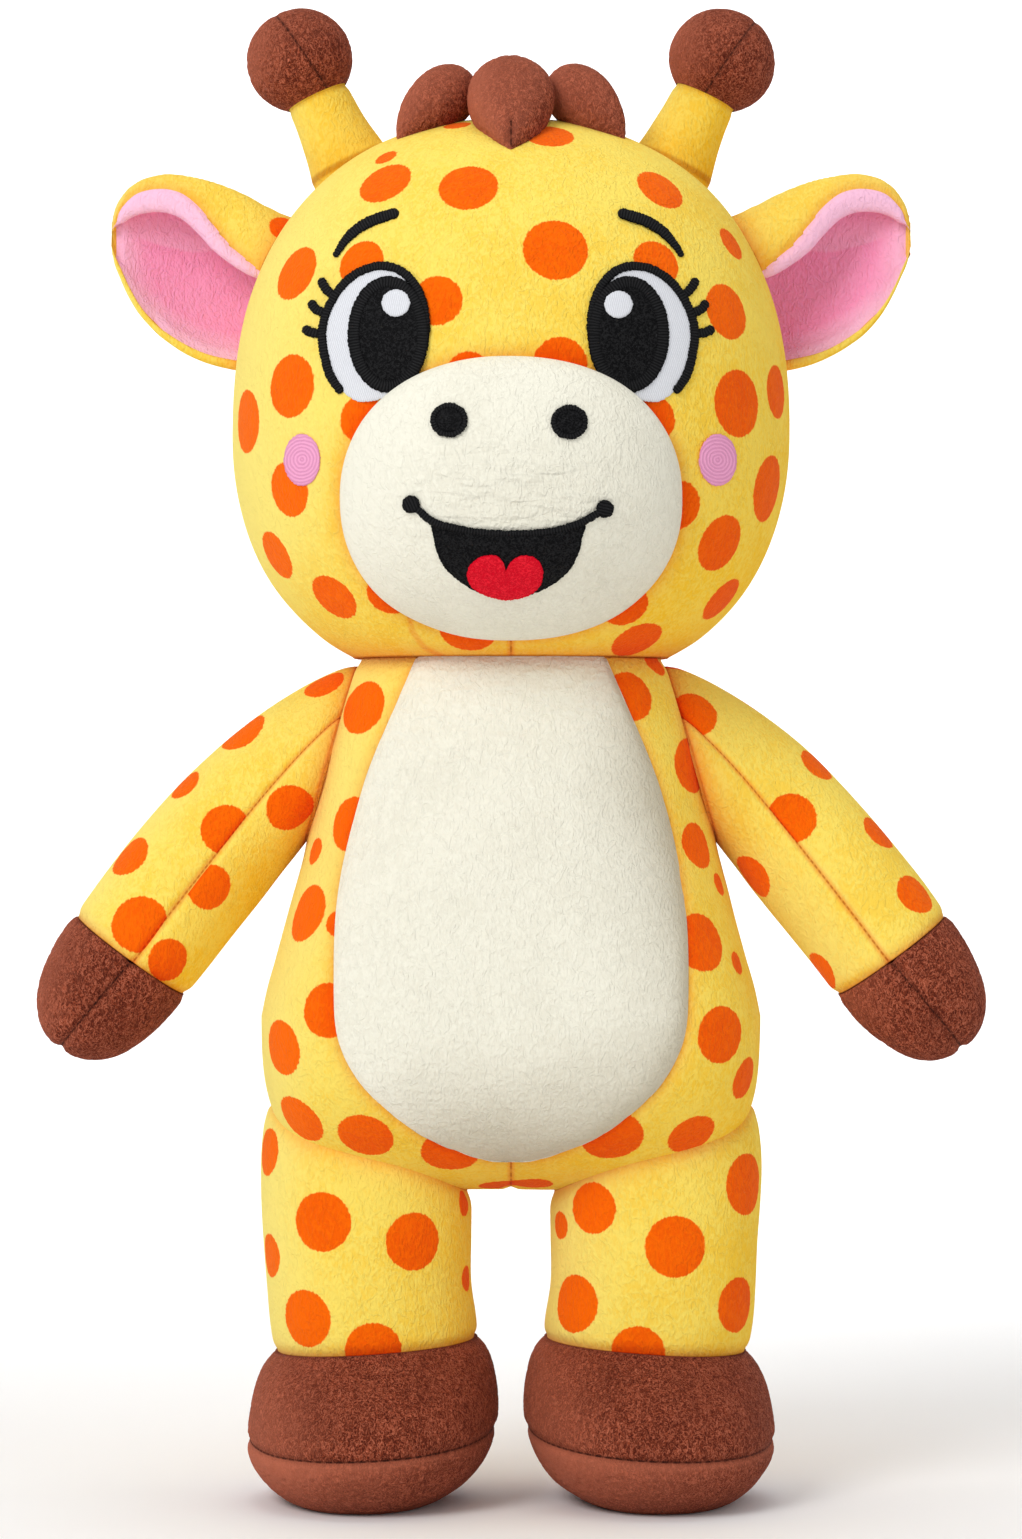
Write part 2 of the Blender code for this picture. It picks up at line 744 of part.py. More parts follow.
def torso_ring(z, grow, sides):
    """One level of the torso: a slice of the round seat below the hips, an oval above them."""
    loop = []
    drop = HIP_HEIGHT - z
    if drop > 0:
        share = drop / (TORSO_HALF_DEPTH + grow)
        reach = (TORSO_HALF_WIDTH + grow) * remainder(HIP_POWER, share)
        for angle in turns(sides):
            x, away = oval(angle, reach, 1.0, HIP_POWER)
            slack = hip_radius(x, grow) ** 2 - drop**2
            loop.append((x, math.copysign(math.sqrt(max(slack, 0.0)), away), z))
        return loop
    power = mix(HIP_POWER, BODY_POWER, ease(torso_share(z) / HIP_FADE_SHARE))
    wall = shoulder_out(z) + grow
    for angle in turns(sides):
        x, y = oval(angle, torso_width(z) + grow, torso_depth(z) + grow, power)
        if z > ARMPIT_Z and abs(x) > wall:
            x = math.copysign(wall, x)
        loop.append((x, y, z))
    return loop


def torso_shape(grow, sides, bulb, upper, over=0.0):
    deep = TORSO_HALF_DEPTH + grow
    top = NECK_Z - GAP / 2
    levels = [HIP_HEIGHT - deep * math.cos(math.pi / 2 * r / bulb) for r in range(1, bulb)]
    levels += [mix(HIP_HEIGHT, top, r / upper) for r in range(upper + 1)]
    rings = [torso_ring(z, grow, sides) for z in levels]
    if over:
        rings.append([(x, y, z + over) for x, y, z in rings[-1]])
    return lofted(rings, first=(0, 0, HIP_HEIGHT - deep))


def belly_outline(inset):
    """The belly panel's outline, from the neck down one side and up the other."""
    low = HIP_HEIGHT - BELLY_BELOW_HIP
    tall = NECK_Z - low
    right = []
    for share, width in BELLY_SHARES:
        x = max(BELLY_HALF_WIDTH * width - inset, inset)
        right.append((x, low + inset + tall * share))
    right[-1] = (right[-1][0], NECK_Z + OVERRUN)
    return right + [(-x, z) for x, z in reversed(right)]


def belly_prism(inset):
    outline = belly_outline(inset)
    far = -TORSO_HALF_DEPTH - OVERRUN
    near = -SKIN
    return lofted([[(x, y, z) for x, z in outline] for y in (far, near)])


def build_torso():
    shape = torso_shape(0.0, TORSO_SIDES, BULB_RINGS + 2, TORSO_RINGS)
    skin = piece("torso_skin", shape, plush("torso_plush", YELLOW))
    panel = piece("belly_panel", shape, plush("belly_plush", CREAM))
    inner = torso_shape(-SKIN, TORSO_SIDES // 2, BULB_RINGS, TORSO_RINGS // 2, OVERRUN)
    hollow = cutter("torso_hollow", inner)
    for target in (skin, panel):
        cut(target, hollow)
    cut(skin, cutter("belly_opening", belly_prism(0.0)))
    cut(panel, cutter("belly_outline", belly_prism(GAP)), "INTERSECT")
    inner = torso_shape(-SKIN - GAP, TORSO_SIDES // 2, BULB_RINGS, TORSO_RINGS // 2)
    piece("torso_stuffing", inner, material("torso_filling", FILLING, FILLING_ROUGHNESS))


# Arms


def shoulder_seam(sign):
    """The top and foot of a shoulder seam, and the way out of the body, square to the seam."""
    high = Vector((sign * shoulder_out(SHOULDER_TOP_Z), 0, SHOULDER_TOP_Z))
    low = Vector((sign * shoulder_out(ARMPIT_Z), 0, ARMPIT_Z))
    down = low - high
    out = Vector((-sign * down.z, 0, sign * down.x)).normalized()
    return high, low, out


def bezier(a, b, c, t):
    return a * (1 - t) ** 2 + b * 2 * t * (1 - t) + c * t**2


def around(middle, up, deep, sides):
    """An oval ring through the vector up and a half-depth along Y."""
    ring = []
    for angle in turns(sides):
        ring.append(middle + up * math.cos(angle) + Vector((0, deep * math.sin(angle), 0)))
    return ring


def arm_section(sign, t, grow):
    """The middle, upward radius and half-depth of the arm at share t from shoulder to cuff."""
    high, low, out = shoulder_seam(sign)
    high, low = high + out * GAP, low + out * GAP
    elbow = high + Vector((sign * ELBOW_OUT, 0, -ELBOW_DROP))
    cuff_top = high + Vector((sign * CUFF_OUT, 0, -CUFF_DROP))
    inward = Vector((-sign * math.cos(CUFF_LEAN), 0, -math.sin(CUFF_LEAN)))
    above = bezier(high, elbow, cuff_top, t)
    below = low.lerp(cuff_top + inward * CUFF_WIDTH, t**ARM_UNDERSIDE_POWER)
    middle = (above + below) / 2 + Vector((0, -ARM_FORWARD * t * t, 0))
    up = (above - below) / 2
    deep = mix(ARM_ROOT_HALF_DEPTH, ARM_HALF_DEPTH, ease(t / ARM_THINNING_SHARE))
    return middle, up.normalized() * (up.length + grow), deep + grow


def hand_way(sign):
    """The way that the arm points where it ends at the cuff."""
    way = Vector((sign * math.sin(CUFF_LEAN), 0, -math.cos(CUFF_LEAN)))
    return (way * HAND_LENGTH + Vector((0, -HAND_FORWARD, 0))).normalized()


def arm_rings(sign, grow, sides):
    return [around(*arm_section(sign, r / ARM_RINGS, grow), sides) for r in range(ARM_RINGS + 1)]


def hand_rings(sign, grow, sides, seat):
    """Rings from the cuff to the tip of the hand, and the tip."""
    middle, up, deep = arm_section(sign, 1.0, grow)
    way = hand_way(sign)
    middle += way * seat
    reach = HAND_LENGTH + grow
    rings = []
    for r in range(HAND_RINGS):
        lean = math.pi / 2 * r / HAND_RINGS
        far = reach * math.sin(lean) ** (2 / BODY_POWER)
        width = math.cos(lean) ** (2 / BODY_POWER)
        rings.append(around(middle + way * far, up * width, deep * width, sides))
    return rings, middle + way * reach


def moved(ring, shift):
    return [p + shift for p in ring]


def build_arm(side, sign, shoulder):
    _, _, out = shoulder_seam(sign)
    way = hand_way(sign)
    rings = arm_rings(sign, 0.0, ARM_SIDES)
    name = "arm_skin_" + side
    skin = piece(name, lofted(rings), plush(name + "_plush", YELLOW), shoulder)
    rings = arm_rings(sign, -SKIN, ARM_SIDES // 2)
    ends = [moved(rings[0], -out * OVERRUN)], [moved(rings[-1], way * OVERRUN)]
    cut(skin, cutter("arm_hollow_" + side, lofted(ends[0] + rings + ends[1])))
    rings, tip = hand_rings(sign, 0.0, ARM_SIDES, GAP)
    name = "hand_" + side
    hand = piece(name, lofted(rings, last=tip), plush(name + "_plush", BROWN), shoulder)
    rings, tip = hand_rings(sign, -SKIN, ARM_SIDES // 2, GAP)
    rings.insert(0, moved(rings[0], -way * OVERRUN))
    cut(hand, cutter("hand_hollow_" + side, lofted(rings, last=tip)))
    far, tip = hand_rings(sign, -SKIN - GAP, ARM_SIDES // 2, GAP)
    rings = arm_rings(sign, -SKIN - GAP, ARM_SIDES // 2)[:-1] + far
    filling = material("arm_filling_" + side, FILLING, FILLING_ROUGHNESS)
    piece("arm_stuffing_" + side, lofted(rings, last=tip), filling, shoulder)


# Legs and boots


def seat_z(x, y):
    """The level of the leg's hollow top, which turns about the hip axis on the round seat."""
    slack = hip_radius(x, SWING_CLEARANCE) ** 2 - y**2
    return HIP_HEIGHT - math.sqrt(max(slack, 0.0))


def leg_outline(sign, share, grow, sides):
    centre = mix(LEG_X, CUFF_X, curve_value(LEG_SHARES, share, 2))
    width = LEG_HALF_WIDTH * curve_value(LEG_SHARES, share, 1) + grow
    found = []
    for angle in turns(sides):
        x, y = oval(angle, width, LEG_HALF_DEPTH + grow, BOOT_POWER)
        found.append((sign * (centre + x), y))
    return found


def leg_rings(sign, grow, sides, lift=0.0):
    """The leg's rings from the middle of its hollow top, over its rim and down to the cuff."""
    rim = leg_outline(sign, 0.0, grow, sides)
    centre = (sign * mix(LEG_X, CUFF_X, curve_value(LEG_SHARES, 0.0, 2)), 0.0)
    rings = []
    for r in range(1, CAP_RINGS + 1):
        share = math.sin(math.pi / 2 * r / CAP_RINGS)
        inner = [(mix(centre[0], x, share), y * share) for x, y in rim]
        rings.append([(x, y, seat_z(x, y) + lift) for x, y in inner])
    if lift:
        rings.append([(x, y, z - lift) for x, y, z in rings[-1]])
    tops = [z for _, _, z in rings[-1]]
    low = CUFF_HEIGHT + GAP / 2
    for r in range(1, LEG_RINGS + 1):
        share = r / LEG_RINGS
        level = leg_outline(sign, share, grow, sides)
        rings.append([(x, y, mix(z, low, share)) for (x, y), z in zip(level, tops)])
    return rings, (*centre, seat_z(*centre) + lift)


def boot_ring(sign, z, grow, sides):
    share = z / CUFF_HEIGHT
    width = BOOT_HALF_WIDTH * curve_value(BOOT_SHARES, share, 1) + grow
    toe = BOOT_TOE * curve_value(BOOT_SHARES, share, 2) + grow
    heel = BOOT_HEEL * curve_value(BOOT_SHARES, share, 3) + grow
    centre = CUFF_X + BOOT_SPLAY * (1 - share) ** 2
    ring = []
    for angle in turns(sides):
        x, y = oval(angle, width, 1.0, BOOT_POWER)
        ring.append((sign * (centre + x), y * (heel if y > 0 else toe), z))
    return ring


def boot_rings(sign, grow, sides, levels):
    return [boot_ring(sign, z, grow, sides) for z in levels]


def build_leg(side, sign, hip):
    rings, top = leg_rings(sign, 0.0, LEG_SIDES)
    name = "leg_skin_" + side
    skin = piece(name, lofted(rings, first=top), plush(name + "_plush", YELLOW), hip)
    rings, top = leg_rings(sign, -SKIN, LEG_SIDES // 2, OVERRUN)
    rings.append([(x, y, z - OVERRUN) for x, y, z in rings[-1]])
    cut(skin, cutter("leg_hollow_" + side, lofted(rings, first=top)))

    high = CUFF_HEIGHT - GAP / 2
    seam = SOLE_HEIGHT + GAP / 2
    levels = [mix(seam, high, i / UPPER_RINGS) for i in range(UPPER_RINGS + 1)]
    name = "boot_upper_" + side
    shape = lofted(boot_rings(sign, 0.0, LEG_SIDES, levels))
    upper = piece(name, shape, plush(name + "_plush", BROWN), hip)
    levels = [mix(SKIN, CUFF_HEIGHT, i / HOLLOW_RINGS) for i in range(HOLLOW_RINGS + 1)]
    hollow = boot_rings(sign, -SKIN, LEG_SIDES // 2, levels)
    hollow.append([(x, y, z + OVERRUN) for x, y, z in hollow[-1]])
    tool = cutter("boot_hollow_" + side, lofted(hollow))
    cut(upper, tool)

    flat_share = 1 / SOLE_RINGS
    shares = [(flat_share * i) ** SOLE_CURVE_POWER for i in range(SOLE_RINGS + 1)]
    levels = [(SOLE_HEIGHT - GAP / 2) * share for share in shares]
    name = "boot_sole_" + side
    shape = lofted(boot_rings(sign, 0.0, LEG_SIDES, levels))
    sole = piece(name, shape, plush(name + "_plush", BROWN), hip)
    cut(sole, tool)

    rings, top = leg_rings(sign, -SKIN - GAP, LEG_SIDES // 2)
    levels = [mix(SKIN + GAP, CUFF_HEIGHT, i / FILLING_RINGS) for i in range(FILLING_RINGS)]
    rings += boot_rings(sign, -SKIN - GAP, LEG_SIDES // 2, reversed(levels))
    filling = material("leg_filling_" + side, FILLING, FILLING_ROUGHNESS)
    piece("leg_stuffing_" + side, lofted(rings, first=top), filling, hip)


# Tail


def tail_root():
    """The tail's hinge, where its round top lies against the back of the seat."""
    z = HIP_HEIGHT + TAIL_ABOVE_HIP
    return Vector((0, torso_depth(z) + GAP + TAIL_RADIUS, z))


def build_tail(carrier):
    root = tail_root()
    down = Vector((0, math.sin(TAIL_LEAN), -math.cos(TAIL_LEAN)))
    across = Vector((1, 0, 0))
    profile = []
    for r in range(1, TAIL_RINGS + 1):
        lean = math.pi / 2 * (r / TAIL_RINGS - 1)
        profile.append((TAIL_RADIUS * math.sin(lean), TAIL_RADIUS * math.cos(lean)))
    profile.append((TAIL_LENGTH, TAIL_RADIUS))
    rings = along_axis(root, down, across, profile, TAIL_SIDES)
    shape = lofted(rings, first=root - down * TAIL_RADIUS)
    piece("tail", shape, plush("tail_plush", YELLOW), carrier)
    start = root + down * (TAIL_LENGTH + GAP)
    profile = [(0.0, TAIL_RADIUS)]
    for r in range(1, TAIL_TUFT_RINGS):
        share = r / TAIL_TUFT_RINGS
        lean = math.pi * mix(TAIL_TUFT_NECK_SHARE, 1.0, share)
        swell = math.sin(lean) * math.cos(lean / 2) ** TAIL_TUFT_POINT_POWER
        radius = TAIL_TUFT_RADIUS * min(swell * TAIL_TUFT_SWELL_SHARE, 1.0)
        profile.append((TAIL_TUFT_LENGTH * share, radius))
    rings = along_axis(start, down, across, profile, TAIL_SIDES)
    shape = lofted(rings, last=start + down * TAIL_TUFT_LENGTH)
    piece("tail_tuft", shape, plush("tail_tuft_plush", BROWN), carrier)


# Face


def over_head(layer):
    """The two surfaces of an embroidered layer on the head."""
    low = GAP + layer * (LAYER + GAP)
    return (lambda x, z: head_front(x, z, low + LAYER)), (lambda x, z: head_front(x, z, low))


def over_muzzle(layer):
    low = GAP + layer * (LAYER + GAP)
    return (lambda x, z: muzzle_front(x, z, low + LAYER)), (lambda x, z: muzzle_front(x, z, low))


def oval_patch(name, centre, half_width, half_height, surfaces, look, neck):
    outline = oval_outline(centre, half_width, half_height, 2.0, PATCH_SIDES)
    piece(name, draped(outline, centre, PATCH_RINGS, *surfaces), look, neck)


def stroke(points, width, front, back):
    """A thin raised line along points given as (x, z)."""
    loops = []
    for i, (x, z) in enumerate(points):
        x0, z0 = points[max(i - 1, 0)]
        x1, z1 = points[min(i + 1, len(points) - 1)]
        length = math.hypot(x1 - x0, z1 - z0)
        aside = (z0 - z1) / length * width / 2, (x1 - x0) / length * width / 2
        a = x + aside[0], z + aside[1]
        b = x - aside[0], z - aside[1]
        corners = (a, front), (b, front), (b, back), (a, back)
        loops.append([(across, surface(across, up), up) for (across, up), surface in corners])
    return lofted(loops)


def build_eye(side, sign, neck):
    centre = (sign * EYE_OUT, HEAD_Z + EYE_RISE)
    white = thread("eye_white_thread", WHITE)
    black = thread("eye_black_thread", BLACK)
    flat = over_head(0)
    oval_patch("eye_white_" + side, centre, EYE_HALF_WIDTH, EYE_HALF_HEIGHT, flat, white, neck)
    room = GAP + RIM_WIDTH / 2
    path = []
    for i in range(EYE_RIM_STEPS + 1):
        angle = mix(EYE_RIM_FROM, EYE_RIM_TO, i / EYE_RIM_STEPS)
        x = centre[0] + sign * (EYE_HALF_WIDTH + room) * math.cos(angle)
        path.append((x, centre[1] + (EYE_HALF_HEIGHT + room) * math.sin(angle)))
    piece("eye_rim_" + side, stroke(path, RIM_WIDTH, *flat), black, neck)
    spot = (sign * IRIS_OUT, HEAD_Z + IRIS_RISE)
    oval_patch("iris_" + side, spot, IRIS_HALF_WIDTH, IRIS_HALF_HEIGHT, over_head(1), black, neck)
    spot = (sign * GLINT_OUT, HEAD_Z + GLINT_RISE)
    oval_patch("eye_glint_" + side, spot, GLINT_RADIUS, GLINT_RADIUS, over_head(2), white, neck)
    path = []
    for i in range(BROW_STEPS + 1):
        across = 2 * i / BROW_STEPS - 1
        along = across * BROW_LENGTH / 2
        arch = BROW_SAG * (1 - across**2)
        out = BROW_OUT + along * math.cos(BROW_SLOPE) + arch * math.sin(BROW_SLOPE)
        rise = BROW_RISE - along * math.sin(BROW_SLOPE) + arch * math.cos(BROW_SLOPE)
        path.append((sign * out, HEAD_Z + rise))
    piece("brow_" + side, stroke(path, BROW_WIDTH, *flat), black, neck)


def build_cheek_and_nostril(side, sign, neck):
    spot = (sign * CHEEK_OUT, HEAD_Z - CHEEK_DROP)
    blush = thread("cheek_thread", BLUSH)
    size = CHEEK_HALF_WIDTH, CHEEK_HALF_HEIGHT
    oval_patch("cheek_" + side, spot, *size, over_head(0), blush, neck)
    spot = (sign * NOSTRIL_OUT, MUZZLE_Z + NOSTRIL_RISE)
    black = thread("nostril_thread", BLACK)
    size = NOSTRIL_RADIUS, NOSTRIL_RADIUS
    oval_patch("nostril_" + side, spot, *size, over_muzzle(0), black, neck)


def build_mouth(neck):
    """A laughing mouth: a sagging upper edge over a rounded lower one, with the tongue in it."""
    top = MUZZLE_Z - MOUTH_DROP
    outline = []
    for angle in turns(2 * PATCH_SIDES):
        x, fall = oval(angle, MOUTH_HALF_WIDTH, MOUTH_DEPTH, MOUTH_POWER)
        if fall >= 0:
            fall = -MOUTH_SAG * (1 - (x / MOUTH_HALF_WIDTH) ** 2)
        outline.append((x, top + fall))
    centre = (0.0, top - MOUTH_DEPTH / 2)
    shape = draped(outline, centre, MOUTH_RINGS, *over_muzzle(0))
    piece("mouth", shape, thread("mouth_thread", BLACK), neck)
    build_tongue((0.0, top - TONGUE_DROP), neck)


def build_tongue(centre, neck):
    """A heart: an oval whose upper edge dips in the middle."""
    outline = []
    for x, z in oval_outline(centre, TONGUE_HALF_WIDTH, TONGUE_HALF_HEIGHT, 2.0, PATCH_SIDES):
        if z > centre[1]:
            z -= TONGUE_NOTCH * (1 - abs(x) / TONGUE_HALF_WIDTH)
        outline.append((x, z))
    shape = draped(outline, centre, PATCH_RINGS, *over_muzzle(1))
    piece("tongue", shape, thread("tongue_thread", RED), neck)


def main():
    clear_scene()
    build_torso()
    neck = pivot("neck_pivot", Vector((0, 0, NECK_Z)))
    build_head(neck)
    build_muzzle(neck)
    build_hair(neck)
    build_mouth(neck)
    build_tail(pivot("tail_pivot", tail_root()))
    for side, sign in SIDES:
        build_horn(neck, side, sign)
        build_eye(side, sign, neck)
        build_cheek_and_nostril(side, sign, neck)
        foot, head = ear_root(sign)
        build_ear(side, sign, pivot("ear_pivot_" + side, (foot + head) / 2))
        high, low, _ = shoulder_seam(sign)
        build_arm(side, sign, pivot("shoulder_pivot_" + side, (high + low) / 2))
        build_leg(side, sign, pivot("hip_pivot_" + side, Vector((sign * LEG_X, 0, HIP_HEIGHT))))


main()
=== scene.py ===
"""Looks of the plush giraffe: plush skins, embroidery, floor, light and camera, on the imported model.

Metres. Sizes repeat the model's own, in its frame before centring, and make() shifts each piece by CENTRING.
Left and right are the toy's own. Photo places are pixels of the 1022 x 1539 picture.
"""

import math

import bpy
import numpy as np
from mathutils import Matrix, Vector, noise


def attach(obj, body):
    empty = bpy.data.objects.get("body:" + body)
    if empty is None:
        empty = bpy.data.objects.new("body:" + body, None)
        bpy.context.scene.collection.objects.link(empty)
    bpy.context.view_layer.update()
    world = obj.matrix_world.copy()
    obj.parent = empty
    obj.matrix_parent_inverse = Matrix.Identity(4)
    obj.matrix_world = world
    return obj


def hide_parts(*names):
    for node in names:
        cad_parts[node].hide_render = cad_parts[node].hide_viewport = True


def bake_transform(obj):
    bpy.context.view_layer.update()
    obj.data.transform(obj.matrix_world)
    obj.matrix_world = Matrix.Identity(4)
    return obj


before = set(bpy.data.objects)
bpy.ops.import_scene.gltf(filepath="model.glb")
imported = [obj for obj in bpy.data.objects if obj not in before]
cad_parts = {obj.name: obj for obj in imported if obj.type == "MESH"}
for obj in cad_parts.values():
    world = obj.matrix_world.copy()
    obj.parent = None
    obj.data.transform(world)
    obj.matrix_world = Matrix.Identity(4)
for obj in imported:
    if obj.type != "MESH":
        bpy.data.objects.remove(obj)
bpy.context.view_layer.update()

MM = 0.001
GAP = 0.3 * MM

# Camera: the photo's scale in the plane of the body, and how far away it was taken
PICTURE_WIDE = 1022
PICTURE_TALL = 1539
PIXEL = 0.2696 * MM
CAMERA_AWAY = 1300.0 * MM
CAMERA_HEIGHT = 195.75 * MM
SENSOR = 36.0

# Torso
HIP_HEIGHT = 130.0 * MM
TORSO_ABOVE_HIP = 95.5 * MM
TORSO_HALF_WIDTH = 66.9 * MM
TORSO_HALF_DEPTH = 47.4 * MM
HIP_POWER = 3.4
BODY_POWER = 2.3
SHOULDER_DROP = 1.0 * MM
SHOULDER_HEIGHT = 49.0 * MM
SHOULDER_TOP_SHARE = 0.97
HIP_FADE_SHARE = 0.625
TORSO_SHARES = (
    (0.00, 1.000, 1.000),
    (0.08, 0.975, 0.998),
    (0.16, 0.942, 0.994),
    (0.33, 0.878, 0.970),
    (0.48, 0.825, 0.930),
    (0.63, 0.800, 0.880),
    (0.76, 0.785, 0.835),
    (0.88, 0.733, 0.785),
    (0.95, 0.680, 0.745),
    (1.00, 0.632, 0.710),
)
BELLY_HALF_WIDTH = 46.3 * MM
BELLY_BELOW_HIP = 37.5 * MM
BELLY_SHARES = (
    (0.00, 0.12),
    (0.02, 0.30),
    (0.057, 0.52),
    (0.125, 0.76),
    (0.187, 0.90),
    (0.265, 0.985),
    (0.38, 1.00),
    (0.50, 0.99),
    (0.615, 0.94),
    (0.728, 0.855),
    (0.806, 0.777),
    (0.904, 0.657),
    (1.00, 0.54),
)

# Head and muzzle
HEAD_BELOW_WIDEST = 61.8 * MM
HEAD_LOWER_REACH = 70.8 * MM
HEAD_UPPER_REACH = 83.0 * MM
HEAD_HALF_WIDTH = 74.8 * MM
HEAD_HALF_DEPTH = 66.0 * MM
HEAD_POWER = 2.3
MUZZLE_DROP = 21.9 * MM
MUZZLE_HALF_WIDTH = 44.2 * MM
MUZZLE_HALF_HEIGHT = 36.0 * MM
MUZZLE_EDGE = 1.2 * MM
MUZZLE_DOME = 13.0 * MM
MUZZLE_POWER = 2.2

# Horns, ears and hair
HORN_ROOT_OUT = 43.6 * MM
HORN_ROOT_BACK = 2.0 * MM
HORN_TILT = math.radians(25.5)
HORN_LENGTH = 20.0 * MM
HORN_ROOT_RADIUS = 9.8 * MM
HORN_TOP_RADIUS = 8.6 * MM
KNOB_RADIUS = 14.3 * MM
KNOB_HEIGHT_SHARE = 0.96
EAR_BACK = 8.0 * MM
EAR_ROOT_LOW = 13.7 * MM
EAR_ROOT_HEIGHT = 44.0 * MM
FRONT_TUFT_LENGTH = 37.0 * MM
FRONT_TUFT_RADIUS = 10.8 * MM
FRONT_TUFT_HALF_THICKNESS = 9.5 * MM
FRONT_TUFT_LIFT = 12.0 * MM
FRONT_TUFT_FORWARD = 12.0 * MM
FRONT_TUFT_PITCH = math.radians(41)
SIDE_TUFT_LENGTH = 28.5 * MM
SIDE_TUFT_RADIUS = 8.4 * MM
SIDE_TUFT_HALF_THICKNESS = 7.8 * MM
SIDE_TUFT_LIFT = 11.2 * MM
SIDE_TUFT_OUT = 12.0 * MM
SIDE_TUFT_FORWARD = 9.0 * MM
SIDE_TUFT_PITCH = math.radians(41)
SIDE_TUFT_TURN = math.radians(33)

# Arms
ARM_ROOT_HALF_DEPTH = 21.0 * MM
ARM_HALF_DEPTH = 17.6 * MM
ARM_FORWARD = 12.0 * MM
ARM_UNDERSIDE_POWER = 1.5
ELBOW_OUT = 37.0 * MM
ELBOW_DROP = 12.0 * MM
CUFF_OUT = 75.0 * MM
CUFF_DROP = 67.5 * MM
CUFF_WIDTH = 36.4 * MM
CUFF_LEAN = math.radians(36.3)
HAND_LENGTH = 31.0 * MM
HAND_FORWARD = 7.0 * MM

# Legs and boots
CROTCH_HALF_WIDTH = 10.6 * MM
LEG_HALF_WIDTH = 28.4 * MM
LEG_HALF_DEPTH = 27.0 * MM
CUFF_HEIGHT = 41.0 * MM
BOOT_HALF_WIDTH = 33.6 * MM
BOOT_TOE = 47.0 * MM
BOOT_HEEL = 29.5 * MM
BOOTS_APART = 8.8 * MM
BOOT_SPLAY = 3.5 * MM
SOLE_HEIGHT = 18.0 * MM
CUFF_TILT = 2.3 * MM
SOLE_TILT = 1.6 * MM
SOLE_SAG = 2.2 * MM
BOOT_POWER = 2.15
LEG_SHARES = (
    (0.00, 0.95, 0.50),
    (0.12, 0.99, 0.15),
    (0.30, 1.00, 0.00),
    (0.60, 0.985, 0.15),
    (0.85, 0.985, 0.60),
    (1.00, 0.965, 1.00),
)
BOOT_SHARES = (
    (0.00, 0.58, 0.70, 0.54),
    (0.03, 0.66, 0.76, 0.62),
    (0.11, 0.79, 0.86, 0.77),
    (0.22, 0.90, 0.94, 0.90),
    (0.34, 0.97, 0.99, 0.97),
    (0.48, 1.00, 1.00, 1.00),
    (0.63, 0.99, 0.94, 1.00),
    (0.77, 0.96, 0.83, 0.99),
    (0.89, 0.91, 0.71, 0.96),
    (1.00, 0.825, 0.60, 0.93),
)

# Tail
TAIL_ABOVE_HIP = 16.0 * MM
TAIL_LENGTH = 31.0 * MM
TAIL_RADIUS = 3.6 * MM
TAIL_LEAN = math.radians(8)
TAIL_TUFT_LENGTH = 20.0 * MM
TAIL_TUFT_RADIUS = 6.5 * MM

NECK_Z = HIP_HEIGHT + TORSO_ABOVE_HIP
TWIST = 12.0 * MM
HEAD_Z = NECK_Z + HEAD_BELOW_WIDEST
MUZZLE_Z = HEAD_Z - MUZZLE_DROP
SHOULDER_TOP_Z = NECK_Z - SHOULDER_DROP
ARMPIT_Z = SHOULDER_TOP_Z - SHOULDER_HEIGHT
LEG_X = CROTCH_HALF_WIDTH + LEG_HALF_WIDTH
CUFF_X = BOOT_HALF_WIDTH + (BOOTS_APART - BOOT_SPLAY) / 2
CENTRING = (MUZZLE_DOME + MUZZLE_EDGE) / 2

SIDES = (("left", 1), ("right", -1))

# Plush print: spot centres and radii in photo pixels
HEAD_SPOTS = (
    (384, 180, 28), (468, 184, 30), (556, 246, 33), (663, 187, 26), (290, 271, 29), (360, 258, 25),
    (434, 297, 26), (287, 385, 32), (243, 425, 32), (285, 490, 28), (463, 372, 24), (358, 420, 25),
    (657, 261, 25), (735, 242, 18), (730, 311, 29), (742, 404, 34), (780, 392, 27), (773, 490, 34),
    (565, 362, 28), (657, 420, 24), (682, 507, 26), (388, 602, 24), (468, 636, 30), (628, 611, 25),
    (640, 645, 27), (333, 603, 27), (275, 560, 26), (723, 547, 30), (724, 602, 26), (455, 122, 14),
    (551, 132, 26), (384, 153, 12),
)
TORSO_SPOTS = (
    (359, 704, 28), (348, 820, 28), (311, 851, 14), (303, 911, 30), (334, 919, 14), (326, 1008, 28),
    (277, 1051, 28), (295, 1122, 28), (363, 1140, 29), (451, 1156, 30), (634, 694, 26), (659, 661, 14),
    (695, 763, 28), (700, 842, 24), (705, 939, 30), (725, 1038, 29), (750, 1080, 22), (695, 1140, 26),
    (614, 1140, 32), (723, 883, 12), (740, 960, 12), (495, 1190, 18), (536, 1188, 18),
)
# An arm's spots also say which panel they are on: above or below the seam
ARM_SPOTS = {
    "right": (
        (322, 679, 22, 1), (240, 728, 26, 1), (178, 778, 18, 1), (229, 828, 25, 1), (214, 887, 23, -1),
        (291, 813, 24, -1), (126, 853, 23, 1), (143, 921, 29, 1), (172, 961, 22, -1),
    ),
    "left": (
        (694, 709, 25, 1), (791, 814, 25, 1), (751, 880, 24, -1), (917, 890, 22, 1), (814, 975, 21, -1),
        (822, 756, 20, 1), (885, 827, 20, 1),
    ),
}
LEG_SPOTS = {
    "right": (
        (319, 1224, 30), (418, 1243, 29), (303, 1321, 29), (372, 1365, 29), (263, 1153, 24),
        (266, 1257, 22), (469, 1205, 13), (470, 1279, 13),
    ),
    "left": (
        (589, 1211, 26), (678, 1250, 31), (750, 1186, 31), (570, 1303, 29), (740, 1308, 28),
        (628, 1365, 28), (557, 1227, 14),
    ),
}
SPOT_SPACING = 25.0 * MM
